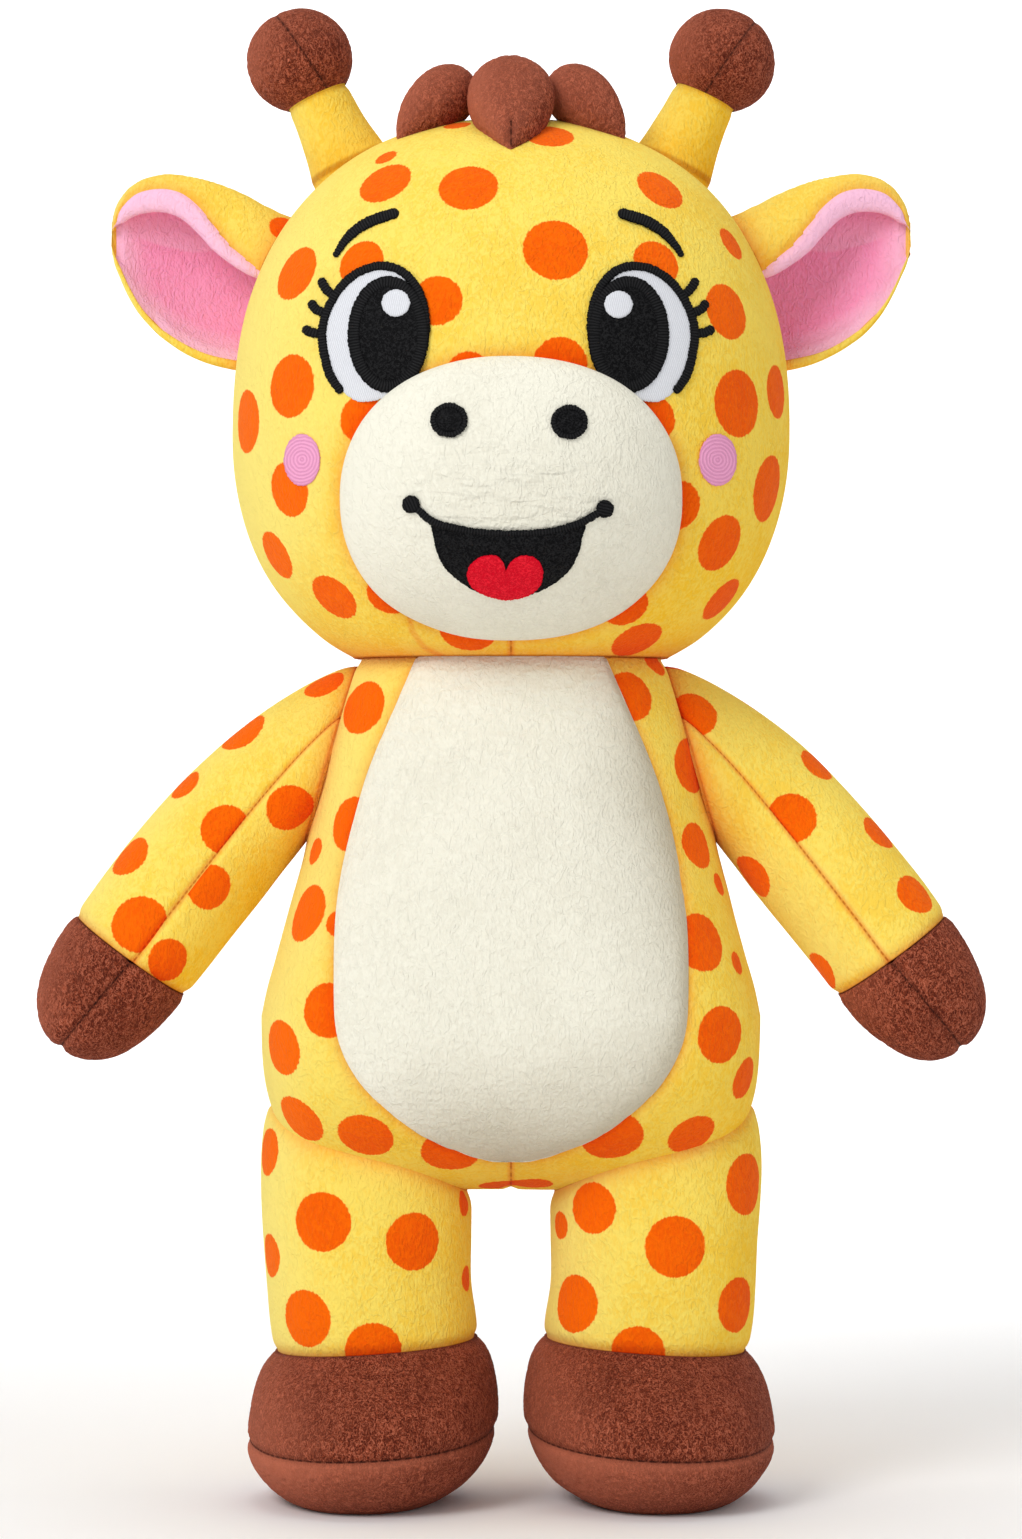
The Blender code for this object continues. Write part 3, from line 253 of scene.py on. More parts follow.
SPOT_RADIUS = 7.8 * MM


# Shapes


def curve(table, at, column=1):
    """The model's smooth curve through a table's rows, for an array of values of the first column."""
    rows = np.array([(row[0], row[column]) for row in table], float)
    slopes = []
    for i in range(len(rows)):
        before, after = rows[max(i - 1, 0)], rows[min(i + 1, len(rows) - 1)]
        slopes.append((after[1] - before[1]) / (after[0] - before[0]))
    slopes = np.array(slopes)
    at = np.clip(np.asarray(at, float), rows[0, 0], rows[-1, 0])
    place = np.clip(np.searchsorted(rows[:, 0], at, side="left") - 1, 0, len(rows) - 2)
    x0, y0 = rows[place, 0], rows[place, 1]
    x1, y1 = rows[place + 1, 0], rows[place + 1, 1]
    span = x1 - x0
    t = (at - x0) / span
    low = (2 * t**3 - 3 * t**2 + 1) * y0 + (t**3 - 2 * t**2 + t) * span * slopes[place]
    return low + (3 * t**2 - 2 * t**3) * y1 + (t**3 - t**2) * span * slopes[place + 1]


def mix(a, b, share):
    return a + (b - a) * share


def ease(share):
    share = np.clip(share, 0.0, 1.0)
    return share * share * (3 - 2 * share)


def remainder(power, *ratios):
    left = 1 - sum(np.abs(ratio) ** power for ratio in ratios)
    return np.maximum(left, 0.0) ** (1 / power)


def oval(angle, half_width, half_depth, power):
    across, along = np.cos(angle), np.sin(angle)
    x = half_width * np.sign(across) * np.abs(across) ** (2 / power)
    y = half_depth * np.sign(along) * np.abs(along) ** (2 / power)
    return x, y


def turns(count):
    return np.arange(count) * 2 * math.pi / count


def head_front(x, z, grow=0.0):
    """The y of the head's front at (x, z)."""
    rise = z - HEAD_Z
    reach = np.where(rise > 0, HEAD_UPPER_REACH, HEAD_LOWER_REACH) + grow
    return -(HEAD_HALF_DEPTH + grow) * remainder(HEAD_POWER, x / (HEAD_HALF_WIDTH + grow), rise / reach)


def head_side(y, z):
    rise = z - HEAD_Z
    reach = np.where(rise > 0, HEAD_UPPER_REACH, HEAD_LOWER_REACH)
    return HEAD_HALF_WIDTH * remainder(HEAD_POWER, y / HEAD_HALF_DEPTH, rise / reach)


def muzzle_front(x, z, grow=0.0):
    left = remainder(MUZZLE_POWER, x / MUZZLE_HALF_WIDTH, (z - MUZZLE_Z) / MUZZLE_HALF_HEIGHT)
    return head_front(x, z, GAP) - MUZZLE_EDGE - MUZZLE_DOME * left - grow


def torso_sizes(z):
    share = (z - HIP_HEIGHT) / TORSO_ABOVE_HIP
    width = TORSO_HALF_WIDTH * curve(TORSO_SHARES, share, 1)
    depth = TORSO_HALF_DEPTH * curve(TORSO_SHARES, share, 2)
    return width, depth, mix(HIP_POWER, BODY_POWER, ease(share / HIP_FADE_SHARE))


def hip_radius(x, grow=0.0):
    return (TORSO_HALF_DEPTH + grow) * remainder(HIP_POWER, x / (TORSO_HALF_WIDTH + grow))


def torso_front(x, z):
    width, depth, power = torso_sizes(z)
    above = -depth * np.maximum(1 - np.abs(x / width) ** power, 0.0) ** (1 / power)
    drop = np.maximum(HIP_HEIGHT - z, 0.0)
    below = -np.sqrt(np.maximum(hip_radius(x) ** 2 - drop**2, 0.0))
    return np.where(z < HIP_HEIGHT, below, above)


def shoulder_out(z):
    top = TORSO_HALF_WIDTH * TORSO_SHARES[-1][1] * SHOULDER_TOP_SHARE
    low = float(torso_sizes(np.array(ARMPIT_Z))[0])
    return mix(low, top, (z - ARMPIT_Z) / SHOULDER_HEIGHT)


# Photo places


def place(u, v, surface):
    """Where the camera's ray through a photo pixel meets a surface given as y of (x, z)."""
    u, v = np.asarray(u, float), np.asarray(v, float)
    y = np.full(u.shape, -60.0 * MM)
    for _ in range(8):
        scale = PIXEL * (CAMERA_AWAY + y) / CAMERA_AWAY
        x = (u - PICTURE_WIDE / 2) * scale
        z = CAMERA_HEIGHT + (PICTURE_TALL / 2 - v) * scale
        y = surface(x, z)
    return x, z


def seen_at(points):
    """Photo pixels of points given in the frame before centring."""
    shrink = CAMERA_AWAY / (CAMERA_AWAY + points[:, 1]) / PIXEL
    u = PICTURE_WIDE / 2 + points[:, 0] * shrink
    v = PICTURE_TALL / 2 - (points[:, 2] - CAMERA_HEIGHT) * shrink
    return u, v


# Meshes


def grid_faces(rows, columns, wrap, start=0):
    """Quads of a grid of points, row by row, joined round if wrap is true."""
    r = np.arange(rows - 1)[:, None] * columns
    c = np.arange(columns if wrap else columns - 1)[None, :]
    after = (c + 1) % columns
    quads = np.stack([r + c, r + after, r + columns + after, r + columns + c], axis=-1)
    return (quads.reshape(-1, 4) + start).tolist()


def fan(ring, tip):
    count = len(ring)
    return [(ring[i], ring[(i + 1) % count], tip) for i in range(count)]


def tube(rings, first=None, last=None):
    """Points and faces over closed rings of equal size, with a tip point at either end if given."""
    rings = np.asarray(rings, float)
    rows, columns = rings.shape[:2]
    points = rings.reshape(-1, 3)
    faces = grid_faces(rows, columns, True)
    for tip, base in ((first, 0), (last, (rows - 1) * columns)):
        if tip is not None:
            points = np.vstack([points, np.asarray(tip, float)[None, :]])
            faces += fan(list(range(base, base + columns)), len(points) - 1)
    return points, faces


def normals_of(mesh):
    found = np.empty(len(mesh.vertices) * 3)
    mesh.vertex_normals.foreach_get("vector", found)
    return found.reshape(-1, 3)


def face_out(mesh):
    import bmesh

    tidy = bmesh.new()
    tidy.from_mesh(mesh)
    bmesh.ops.recalc_face_normals(tidy, faces=tidy.faces)
    tidy.to_mesh(mesh)
    tidy.free()


def lumps(points, size, seed):
    """Smooth noise from -1 to 1 at each point, with features of about the given size."""
    shift = Vector((seed * 7.3, seed * 3.1, seed * 5.7))
    return np.array([noise.noise(Vector(p) / size + shift) for p in points])


def curls(points, size, seed):
    """Ridged noise from 0 to 1, for a curly nap."""
    return 1 - 2 * np.abs(lumps(points, size, seed))


class Piece:
    """A mesh in the making: its points can be pushed along the normals before it is finished."""

    def __init__(self, name, shape, look):
        points, faces = shape
        self.name = name
        self.mesh = bpy.data.meshes.new(name)
        self.mesh.from_pydata(points.tolist(), [], faces)
        face_out(self.mesh)
        self.points = np.array(points, float)
        self.rest = self.points.copy()
        self.look = look
        self.values = {}

    def normals(self):
        return normals_of(self.mesh)

    def push(self, depth, flats=()):
        """Moves each point along its normal by depth. A flat is a distance and the way that stays still there."""
        moves = self.normals() * np.asarray(depth).reshape(-1, 1)
        for distance, way in flats:
            way = np.array(way, float)
            still = np.exp(-((distance / (4 * MM)) ** 4))
            moves -= (still * (moves @ way))[:, None] * way
        self.points = self.points + moves
        self.mesh.vertices.foreach_set("co", self.points.ravel())
        self.mesh.update()

    def value(self, name, numbers):
        self.values[name] = np.asarray(numbers, float)

    def finish(self, body, nodes=(), slot=None, fill=None, bend=None):
        self.points[:, 1] += CENTRING
        self.mesh.vertices.foreach_set("co", self.points.ravel())
        self.mesh.shade_smooth()
        rest = self.mesh.attributes.new("rest", "FLOAT_VECTOR", "POINT")
        rest.data.foreach_set("vector", self.rest.ravel())
        for name, numbers in self.values.items():
            made = self.mesh.attributes.new(name, "FLOAT", "POINT")
            made.data.foreach_set("value", numbers)
        self.mesh.materials.append(self.look)
        made = bpy.data.objects.new(self.name, self.mesh)
        bpy.context.collection.objects.link(made)
        if nodes:
            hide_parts(*nodes)
        if bend:
            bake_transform(made)
        else:
            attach(made, body)
        return made


# Spots


def nearest(points, normals, u, v):
    """The point that the camera sees closest to a photo pixel."""
    across, down = seen_at(points)
    away = np.hypot(across - u, down - v)
    close = away < away.min() + 4
    depth = np.where(close, points[:, 1], np.inf)
    return int(np.argmin(depth))


def spot_field(piece, listed, seed, panel=None, only=None):
    """Signed distance into the nearest printed spot: listed ones first, then spots on the unseen side."""
    points, normals = piece.rest, piece.normals()
    field = np.full(len(points), -1.0)
    centres = []
    for spot in listed:
        u, v, radius = spot[:3]
        i = nearest(points, normals, u, v)
        centre = points[i]
        size = radius * PIXEL * (CAMERA_AWAY + centre[1]) / CAMERA_AWAY
        inside = size - np.linalg.norm(points - centre, axis=1)
        if panel is not None:
            inside = np.where(panel == spot[3], inside, -1.0)
        field = np.maximum(field, inside)
        centres.append(centre)
    eye = np.array([0.0, -CAMERA_AWAY, CAMERA_HEIGHT])
    toward = eye - points
    toward /= np.linalg.norm(toward, axis=1)[:, None]
    hidden = (toward * normals).sum(axis=1) < -0.12
    if only is not None:
        hidden &= only
    order = np.random.RandomState(seed).permutation(len(points))
    for i in order:
        if not hidden[i]:
            continue
        if centres and min(np.linalg.norm(points[i] - c) for c in centres) < SPOT_SPACING:
            continue
        inside = SPOT_RADIUS - np.linalg.norm(points - points[i], axis=1)
        field = np.maximum(field, inside if only is None else np.where(only, inside, -1.0))
        centres.append(points[i])
    piece.value("spot", field)


# Materials


def node(tree, kind, **settings):
    made = tree.nodes.new(kind)
    for name, value in settings.items():
        if name in made.inputs:
            made.inputs[name].default_value = value
        else:
            setattr(made, name, value)
    return made


def attribute(tree, name):
    return node(tree, "ShaderNodeAttribute", attribute_name=name)


def maths(tree, operation, a, b=None, c=None, clamp=False):
    made = tree.nodes.new("ShaderNodeMath")
    made.operation = operation
    made.use_clamp = clamp
    for i, value in enumerate((a, b, c)):
        if value is None:
            continue
        if hasattr(value, "is_linked"):
            tree.links.new(value, made.inputs[i])
        else:
            made.inputs[i].default_value = value
    return made.outputs[0]


def noise_at(tree, rest, scale, detail=2.0, stretch=None, distortion=0.0):
    """Noise in the rest position, with scale in features per metre."""
    source = rest
    if stretch:
        mapping = tree.nodes.new("ShaderNodeMapping")
        mapping.inputs["Scale"].default_value = stretch
        tree.links.new(rest, mapping.inputs["Vector"])
        source = mapping.outputs[0]
    made = node(tree, "ShaderNodeTexNoise")
    made.inputs["Scale"].default_value = scale
    made.inputs["Detail"].default_value = detail
    made.inputs["Distortion"].default_value = distortion
    tree.links.new(source, made.inputs["Vector"])
    return made.outputs["Fac"]


def colour_of(rgb):
    """Linear colour from 8-bit screen values."""
    linear = [((part / 255 + 0.055) / 1.055) ** 2.4 if part > 10 else part / 255 / 12.92 for part in rgb]
    return (*linear, 1.0)


def mixed(tree, factor, a, b):
    """Colour b over colour a by a factor. Each is a socket or a colour."""
    made = tree.nodes.new("ShaderNodeMix")
    made.data_type = "RGBA"
    sockets = [s for s in made.inputs if s.type == "RGBA"]
    for socket, value in ((made.inputs[0], factor), (sockets[0], a), (sockets[1], b)):
        if hasattr(value, "is_linked"):
            tree.links.new(value, socket)
        else:
            socket.default_value = value
    return next(s for s in made.outputs if s.type == "RGBA")


def new_look(name):
    made = bpy.data.materials.new(name)
    made.use_nodes = True
    tree = made.node_tree
    shader = tree.nodes["Principled BSDF"]
    return made, tree, shader


def between(tree, value, low, high):
    """0 below low, 1 above high, and smooth between."""
    made = tree.nodes.new("ShaderNodeMapRange")
    made.interpolation_type = "SMOOTHSTEP"
    tree.links.new(value, made.inputs["Value"])
    made.inputs["From Min"].default_value = low
    made.inputs["From Max"].default_value = high
    return made.outputs["Result"]


def tinted(tree, factor, colour, tint):
    """A colour multiplied by a tint, as far as a factor says."""
    made = mixed(tree, factor, colour, tint)
    made.node.blend_type = "MULTIPLY"
    return made


def worms(tree, rest, scale, stretch=None, distortion=0.8):
    """Short winding ridges, as the tips of a brushed pile make them: 1 on a ridge and 0 between ridges."""
    found = noise_at(tree, rest, scale, 1.5, stretch, distortion)
    away = maths(tree, "ABSOLUTE", maths(tree, "MULTIPLY_ADD", found, 2.0, -1.0))
    return maths(tree, "SUBTRACT", 1.0, between(tree, away, 0.0, 0.22))


def seam_shade(tree, colour, deep, thread=(0.6, 0.36, 0.22, 1)):
    """Paints shade into the colour in a seam's groove and in the creases between pieces, paints a thin dark line of
    shade where pieces meet, and draws the seam's stitches.
    """
    seam = attribute(tree, "seam").outputs["Fac"]
    along = attribute(tree, "along").outputs["Fac"]
    crease_shade = attribute(tree, "crease_shade").outputs["Fac"]
    # Painted shade in the creases between pieces.
    colour = tinted(tree, maths(tree, "MULTIPLY", crease_shade, 0.5), colour, deep)
    # A thin line of painted shade in the crevice where two pieces meet.
    join = between(tree, crease_shade, 0.84, 0.96)
    colour = tinted(tree, maths(tree, "MULTIPLY", join, 0.7), colour, thread)
    # Painted shade in the seam's groove.
    close = maths(tree, "SUBTRACT", 1.0, between(tree, seam, 0.2 * MM, 1.5 * MM))
    shaded = tinted(tree, maths(tree, "MULTIPLY", close, 0.4), colour, deep)
    line = maths(tree, "SUBTRACT", 1.0, between(tree, seam, 0.14 * MM, 0.38 * MM))
    dash = maths(tree, "SINE", maths(tree, "MULTIPLY", along, 2 * math.pi / (2.2 * MM)))
    dash = maths(tree, "MULTIPLY_ADD", between(tree, dash, -0.8, 0.2), 0.5, 0.4)
    return tinted(tree, maths(tree, "MULTIPLY", line, dash), shaded, thread)


def plush_look(name, colour, shade, painted_light_colour, spot=None, deep=(0.9, 0.6, 0.18, 1), nap=0.8, wave=0.0, mottle=0.5):
    """Short brushed pile: a soft sheen, fine nap and slow brush marks, with printed spots if asked for, painted light
    and shade on faces turned to or away from the key lamp, and painted shade in seams and creases.
    """
    made, tree, shader = new_look(name)
    rest = attribute(tree, "rest").outputs["Vector"]
    slow = noise_at(tree, rest, 55.0, 2.0)
    brush = worms(tree, rest, 420.0, stretch=(1.0, 1.0, 0.7))
    fine = noise_at(tree, rest, 1500.0, 2.0, stretch=(1.0, 1.0, 0.5))
    base = colour_of(colour)
    dark = colour_of(shade)
    # The shade colour is mixed in for random mottle and as painted shade on faces turned away from the key lamp; the
    # pale colour is painted light on faces turned to it.
    painted_light_and_shade = attribute(tree, "painted_light_and_shade").outputs["Fac"]
    amount = maths(tree, "SUBTRACT", maths(tree, "ADD", slow, fine), maths(tree, "MULTIPLY", brush, 0.25))
    amount = maths(tree, "MULTIPLY", between(tree, amount, 0.65, 1.25), mottle)
    amount = maths(tree, "ADD", amount, maths(tree, "MULTIPLY", painted_light_and_shade, 0.75), clamp=True)
    ground = mixed(tree, amount, base, dark)
    ground = mixed(tree, maths(tree, "MULTIPLY", painted_light_and_shade, -1.0, clamp=True), ground, colour_of(painted_light_colour))
    if spot:
        # The print's two colours are mixed by the same mottle and painted shade, and the print's shaded colour then
        # also tints the painted shade in seams and creases.
        lit, deep = colour_of(spot[0]), colour_of(spot[1])
        print_ = mixed(tree, amount, lit, deep)
        field = attribute(tree, "spot").outputs["Fac"]
        ragged = maths(tree, "MULTIPLY", maths(tree, "SUBTRACT", fine, 0.5), 0.9 * MM)
        edge = between(tree, maths(tree, "ADD", field, ragged), -0.22 * MM, 0.22 * MM)
        ground = mixed(tree, edge, ground, print_)
    ground = seam_shade(tree, ground, deep)
    tree.links.new(ground, shader.inputs["Base Color"])
    height = maths(tree, "ADD", maths(tree, "MULTIPLY", fine, 0.5), maths(tree, "MULTIPLY", brush, 0.16))
    if wave:
        ripple = noise_at(tree, rest, 300.0, 1.5, stretch=(0.34, 1.0, 1.3), distortion=0.4)
        centre = attribute(tree, "wave").outputs["Fac"]
        height = maths(tree, "ADD", height, maths(tree, "MULTIPLY", maths(tree, "MULTIPLY", ripple, wave), centre))
    bump = node(tree, "ShaderNodeBump")
    bump.inputs["Strength"].default_value = nap
    bump.inputs["Distance"].default_value = 1.0 * MM
    tree.links.new(height, bump.inputs["Height"])
    tree.links.new(bump.outputs[0], shader.inputs["Normal"])
    shader.inputs["Roughness"].default_value = 0.92
    shader.inputs["Specular IOR Level"].default_value = 0.04
    shader.inputs["Sheen Weight"].default_value = 0.08
    shader.inputs["Sheen Roughness"].default_value = 0.6
    shader.inputs["Sheen Tint"].default_value = mix_colour(base, (1, 1, 1, 1), 0.4)
    return made


def mix_colour(a, b, share):
    return tuple(mix(p, q, share) for p, q in zip(a, b))


def curly_look(name, light, colour, dark):
    """Short curly pile: light tips over dark roots, with painted light and shade on faces turned to or away from the
    key lamp, and painted shade in seams and creases.
    """
    made, tree, shader = new_look(name)
    rest = attribute(tree, "rest").outputs["Vector"]
    curl = worms(tree, rest, 950.0, stretch=(1.0, 1.0, 0.6), distortion=1.2)
    finer = worms(tree, rest, 1900.0, stretch=(1.0, 1.0, 0.6), distortion=1.0)
    slow = noise_at(tree, rest, 60.0, 2.0)
    tuft = maths(tree, "ADD", maths(tree, "MULTIPLY", curl, 0.6), maths(tree, "MULTIPLY", finer, 0.4))
    ground = mixed(tree, between(tree, tuft, 0.05, 0.5), colour_of(dark), colour_of(colour))
    ground = mixed(tree, between(tree, tuft, 0.45, 0.95), ground, colour_of(light))
    ground = mixed(tree, maths(tree, "MULTIPLY", between(tree, slow, 0.35, 0.7), 0.25), ground, colour_of(dark))
    # Painted light in the tips' colour where the attribute is below 0, and painted shade in the roots' colour where it
    # is above 0.
    painted_light_and_shade = attribute(tree, "painted_light_and_shade").outputs["Fac"]
    ground = mixed(tree, maths(tree, "MULTIPLY", painted_light_and_shade, -1.0, clamp=True), ground, colour_of(light))
    ground = mixed(tree, maths(tree, "MULTIPLY", painted_light_and_shade, 0.3, clamp=True), ground, colour_of(dark))
    # Painted shade in seams and creases in a grey-brown tint, and near-black for the stitches and for the painted
    # shade line where pieces meet.
    ground = seam_shade(tree, ground, (0.5, 0.42, 0.4, 1), (0.12, 0.08, 0.08, 1))
    tree.links.new(ground, shader.inputs["Base Color"])
    bump = node(tree, "ShaderNodeBump")
    bump.inputs["Strength"].default_value = 0.9
    bump.inputs["Distance"].default_value = 0.35 * MM
    tree.links.new(tuft, bump.inputs["Height"])
    tree.links.new(bump.outputs[0], shader.inputs["Normal"])
    shader.inputs["Roughness"].default_value = 0.9
    shader.inputs["Specular IOR Level"].default_value = 0.15
    shader.inputs["Sheen Weight"].default_value = 0.4
    shader.inputs["Sheen Roughness"].default_value = 0.5
    shader.inputs["Sheen Tint"].default_value = colour_of(light)
    return made


def thread_look(name, colour, gloss, pitch=0.5 * MM, depth=0.5, light=0.04, dark=0.3, grain=False):
    """Satin stitches that lie side by side, with the along attribute across them, or short winding ones as a grain;
    their ridges get painted highlight, the gaps between them painted shade, and their outline painted shade.
    """
    made, tree, shader = new_look(name)
    rest = attribute(tree, "rest").outputs["Vector"]
    along = attribute(tree, "along").outputs["Fac"]
    fine = noise_at(tree, rest, 2600.0, 2.0)
    wobble = maths(tree, "MULTIPLY", noise_at(tree, rest, 500.0, 2.0), 0.5 * MM)
    phase = maths(tree, "MULTIPLY", maths(tree, "ADD", along, wobble), 2 * math.pi / pitch)
    ridge = maths(tree, "MULTIPLY_ADD", maths(tree, "SINE", phase), 0.5, 0.5)
    if grain:
        ridge = worms(tree, rest, 1 / pitch, distortion=0.6)
    base = colour_of(colour)
    amount = maths(tree, "ADD", maths(tree, "MULTIPLY", ridge, 0.6), maths(tree, "MULTIPLY", fine, 0.4))
    # Painted highlight on the stitch ridges and painted shade between them, as far as light and dark say.
    lit = mix_colour(base, (1, 1, 1, 1), light)
    deep = mix_colour(base, (0, 0, 0, 1), dark)
    # Painted shade towards the outline of each stitched shape.
    rim = attribute(tree, "rim").outputs["Fac"]
    amount = maths(tree, "MULTIPLY", amount, maths(tree, "SUBTRACT", 1.0, maths(tree, "MULTIPLY", rim, 0.85)))
    tree.links.new(mixed(tree, amount, deep, lit), shader.inputs["Base Color"])
    bump = node(tree, "ShaderNodeBump")
    bump.inputs["Strength"].default_value = depth
    bump.inputs["Distance"].default_value = 0.3 * MM
    tree.links.new(amount, bump.inputs["Height"])
    tree.links.new(bump.outputs[0], shader.inputs["Normal"])
    shader.inputs["Roughness"].default_value = gloss
    shader.inputs["Specular IOR Level"].default_value = 0.03
    return made


# Colours as 8-bit screen values. The yellow, orange and cream SHADE colours are mixed in for random mottle and as
# painted shade; the pink SHADE colour only for random mottle; the pale yellow and pale pink are painted light; the
# brown's light and dark colours are its pile's tips and roots and also painted light and shade.
YELLOW = (255, 228, 104)
YELLOW_PAINTED_LIGHT = (253, 240, 150)
YELLOW_SHADE = (250, 196, 34)
ORANGE = (255, 107, 0)
ORANGE_SHADE = (238, 78, 0)
CREAM = (246, 243, 226)
CREAM_SHADE = (204, 196, 174)
BROWN_TIPS_AND_PAINTED_LIGHT = (200, 112, 84)
BROWN = (154, 70, 44)
BROWN_ROOTS_AND_PAINTED_SHADE = (84, 27, 13)
PINK = (255, 166, 208)
PINK_SHADE = (255, 142, 190)
PINK_PAINTED_LIGHT = (255, 206, 232)
BLACK = (4, 4, 8)
WHITE = (240, 242, 248)
BLUSH = (255, 166, 212)
RED = (255, 0, 40)

# The deep tints colour the painted shade in seams and creases.
spotted = plush_look("spotted_plush", YELLOW, YELLOW_SHADE, YELLOW_PAINTED_LIGHT, spot=(ORANGE, ORANGE_SHADE))
yellow = plush_look("yellow_plush_look", YELLOW, YELLOW_SHADE, YELLOW_PAINTED_LIGHT)
cream = plush_look("cream_plush_look", CREAM, CREAM_SHADE, CREAM, deep=(0.8, 0.72, 0.5, 1), wave=2.6, mottle=0.18)
pink = plush_look("pink_plush_look", PINK, PINK_SHADE, PINK_PAINTED_LIGHT, deep=(1.0, 0.24, 0.46, 1), mottle=0.3)
brown = curly_look("brown_plush_look", BROWN_TIPS_AND_PAINTED_LIGHT, BROWN, BROWN_ROOTS_AND_PAINTED_SHADE)
black_thread = thread_look("black_thread_look", BLACK, 0.5, pitch=0.75 * MM, depth=0.7, light=0.024, dark=0.6)
black_filling = thread_look("black_filling_look", BLACK, 0.5, 0.85 * MM, 0.8, light=0.022, dark=0.7, grain=True)
white_thread = thread_look("white_thread_look", WHITE, 0.5, depth=0.35)
blush_thread = thread_look("blush_thread_look", BLUSH, 0.6, pitch=0.9 * MM, depth=0.7, light=0.12)
red_thread = thread_look("red_thread_look", RED, 0.6, 0.8 * MM, 0.9, light=0.025, dark=0.35, grain=True)


# Ways for painted light and shade: faces turned along the first way, to +x, back and down, away from the key lamp, get
# painted shade; faces turned along the second, to -x, toward the key lamp, get painted light; the third gives the
# belly its painted shade.
PAINTED_SHADE_WAY = np.array([0.62, 0.2, -0.75])
PAINTED_LIGHT_WAY = np.array([-0.95, -0.1, 0.1])
BELLY_PAINTED_SHADE_WAY = np.array([0.85, 0.0, -0.5])


def plain(piece, seam=None, along=None, crease_shade=None, painted_shade_shift=0.0, gain=1.0):
    """Gives a piece the attributes that its look reads, with painted shade near its creases. Its painted light and
    shade comes from the normals: painted shade above 0 on faces turned away from the key lamp, painted light below 0
    on faces turned to it; gain scales it and the shift is added.
    """
    count = len(piece.points)
    piece.value("seam", np.full(count, 0.05) if seam is None else seam)
    piece.value("along", np.zeros(count) if along is None else along)
    # Painted shade, strongest where the given distance to a crease is small.
    piece.value("crease_shade", np.zeros(count) if crease_shade is None else np.exp(-np.asarray(crease_shade) / (4.5 * MM)))
    normals = piece.normals()
    # Painted shade on faces turned away from the key lamp, painted light on faces turned to it.
    painted_light_and_shade = ease(normals @ PAINTED_SHADE_WAY * 0.6 + 0.25) * 0.8 - ease(normals @ PAINTED_LIGHT_WAY * 1.1 - 0.25) * 0.5
    piece.value("painted_light_and_shade", painted_light_and_shade * gain + painted_shade_shift)


def groove(distance, width, depth):
    """How far a seam draws the fabric in, at a distance from it."""
    return -depth * np.exp(-((distance / width) ** 2))


# Head


def outline_gap(x, z, half_width, half_height, power, middle_z):
    """Rough distance outside an oval outline in the front view, negative inside."""
    ratio = (np.abs(x / half_width) ** power + np.abs((z - middle_z) / half_height) ** power) ** (1 / power)
    reach = np.hypot(x, z - middle_z)
    return reach * (1 - 1 / np.maximum(ratio, 1e-6))


def build_head():
    sides, rings = 288, 190
    bottom = NECK_Z + GAP / 3
    lowest = -math.asin(((HEAD_Z - bottom) / HEAD_LOWER_REACH) ** (HEAD_POWER / 2))
    lean = mix(math.pi / 2, lowest, np.arange(1, rings + 1) / rings)
    rise = np.sign(lean) * np.abs(np.sin(lean)) ** (2 / HEAD_POWER)
    z = HEAD_Z + rise * np.where(rise > 0, HEAD_UPPER_REACH, HEAD_LOWER_REACH)
    spread = remainder(HEAD_POWER, rise)
    angle = turns(sides)
    x, y = oval(angle[None, :], HEAD_HALF_WIDTH * spread[:, None], HEAD_HALF_DEPTH * spread[:, None], HEAD_POWER)
    loops = np.stack([x, y, np.broadcast_to(z[:, None], x.shape)], axis=-1)
    shape = tube(loops, first=(0, 0, HEAD_Z + HEAD_UPPER_REACH), last=(0, 0, bottom))
    head = Piece("head_plush", shape, spotted)
    p = head.rest
    spot_field(head, HEAD_SPOTS, 11)
    front = p[:, 1] < 0
    edge = outline_gap(p[:, 0], p[:, 2], MUZZLE_HALF_WIDTH, MUZZLE_HALF_HEIGHT, MUZZLE_POWER, MUZZLE_Z)
    edge = np.where(front, np.abs(edge), 1.0)
    chin = np.where(front & (p[:, 2] < MUZZLE_Z - MUZZLE_HALF_HEIGHT * 0.8), np.abs(p[:, 0]), 1.0)
    nape = np.where(p[:, 1] > 0, np.abs(p[:, 0]), 1.0)
    neck = np.abs(p[:, 2] - bottom)
    centre = np.minimum(chin, nape)
    gusset = np.full(len(p), 1.0)
    path = place((404, 411, 424, 445), (600, 632, 648, 658), head_front)
    ends = list(zip(*path))
    for (xa, za), (xb, zb) in zip(ends, ends[1:]):
        along = np.clip(((p[:, 0] - xa) * (xb - xa) + (p[:, 2] - za) * (zb - za)) / ((xb - xa) ** 2 + (zb - za) ** 2), 0, 1)
        away = np.hypot(p[:, 0] - mix(xa, xb, along), p[:, 2] - mix(za, zb, along))
        gusset = np.minimum(gusset, np.where(front, away, 1.0))
    depth = groove(edge, 2.6 * MM, 0.9 * MM) + groove(centre, 1.4 * MM, 0.7 * MM)
    depth += groove(neck, 2.2 * MM, 1.0 * MM) + groove(gusset, 1.2 * MM, 0.35 * MM)
    depth += 0.35 * MM * lumps(p, 26 * MM, 1)
    head.push(depth, [(neck, (0, 0, 1))])
    # Painted shade near the neck and round the muzzle.
    plain(head, np.minimum(centre, gusset + 0.24 * MM), p[:, 2], np.minimum(neck * 1.8, edge * 2.5))
    parts = ["head_skin", "head_stuffing"]
    bend = ("head", "torso", (0, CENTRING, NECK_Z + TWIST), (0, CENTRING, NECK_Z - TWIST))
    return head.finish("head", parts, "yellow_plush", 0.95, bend)


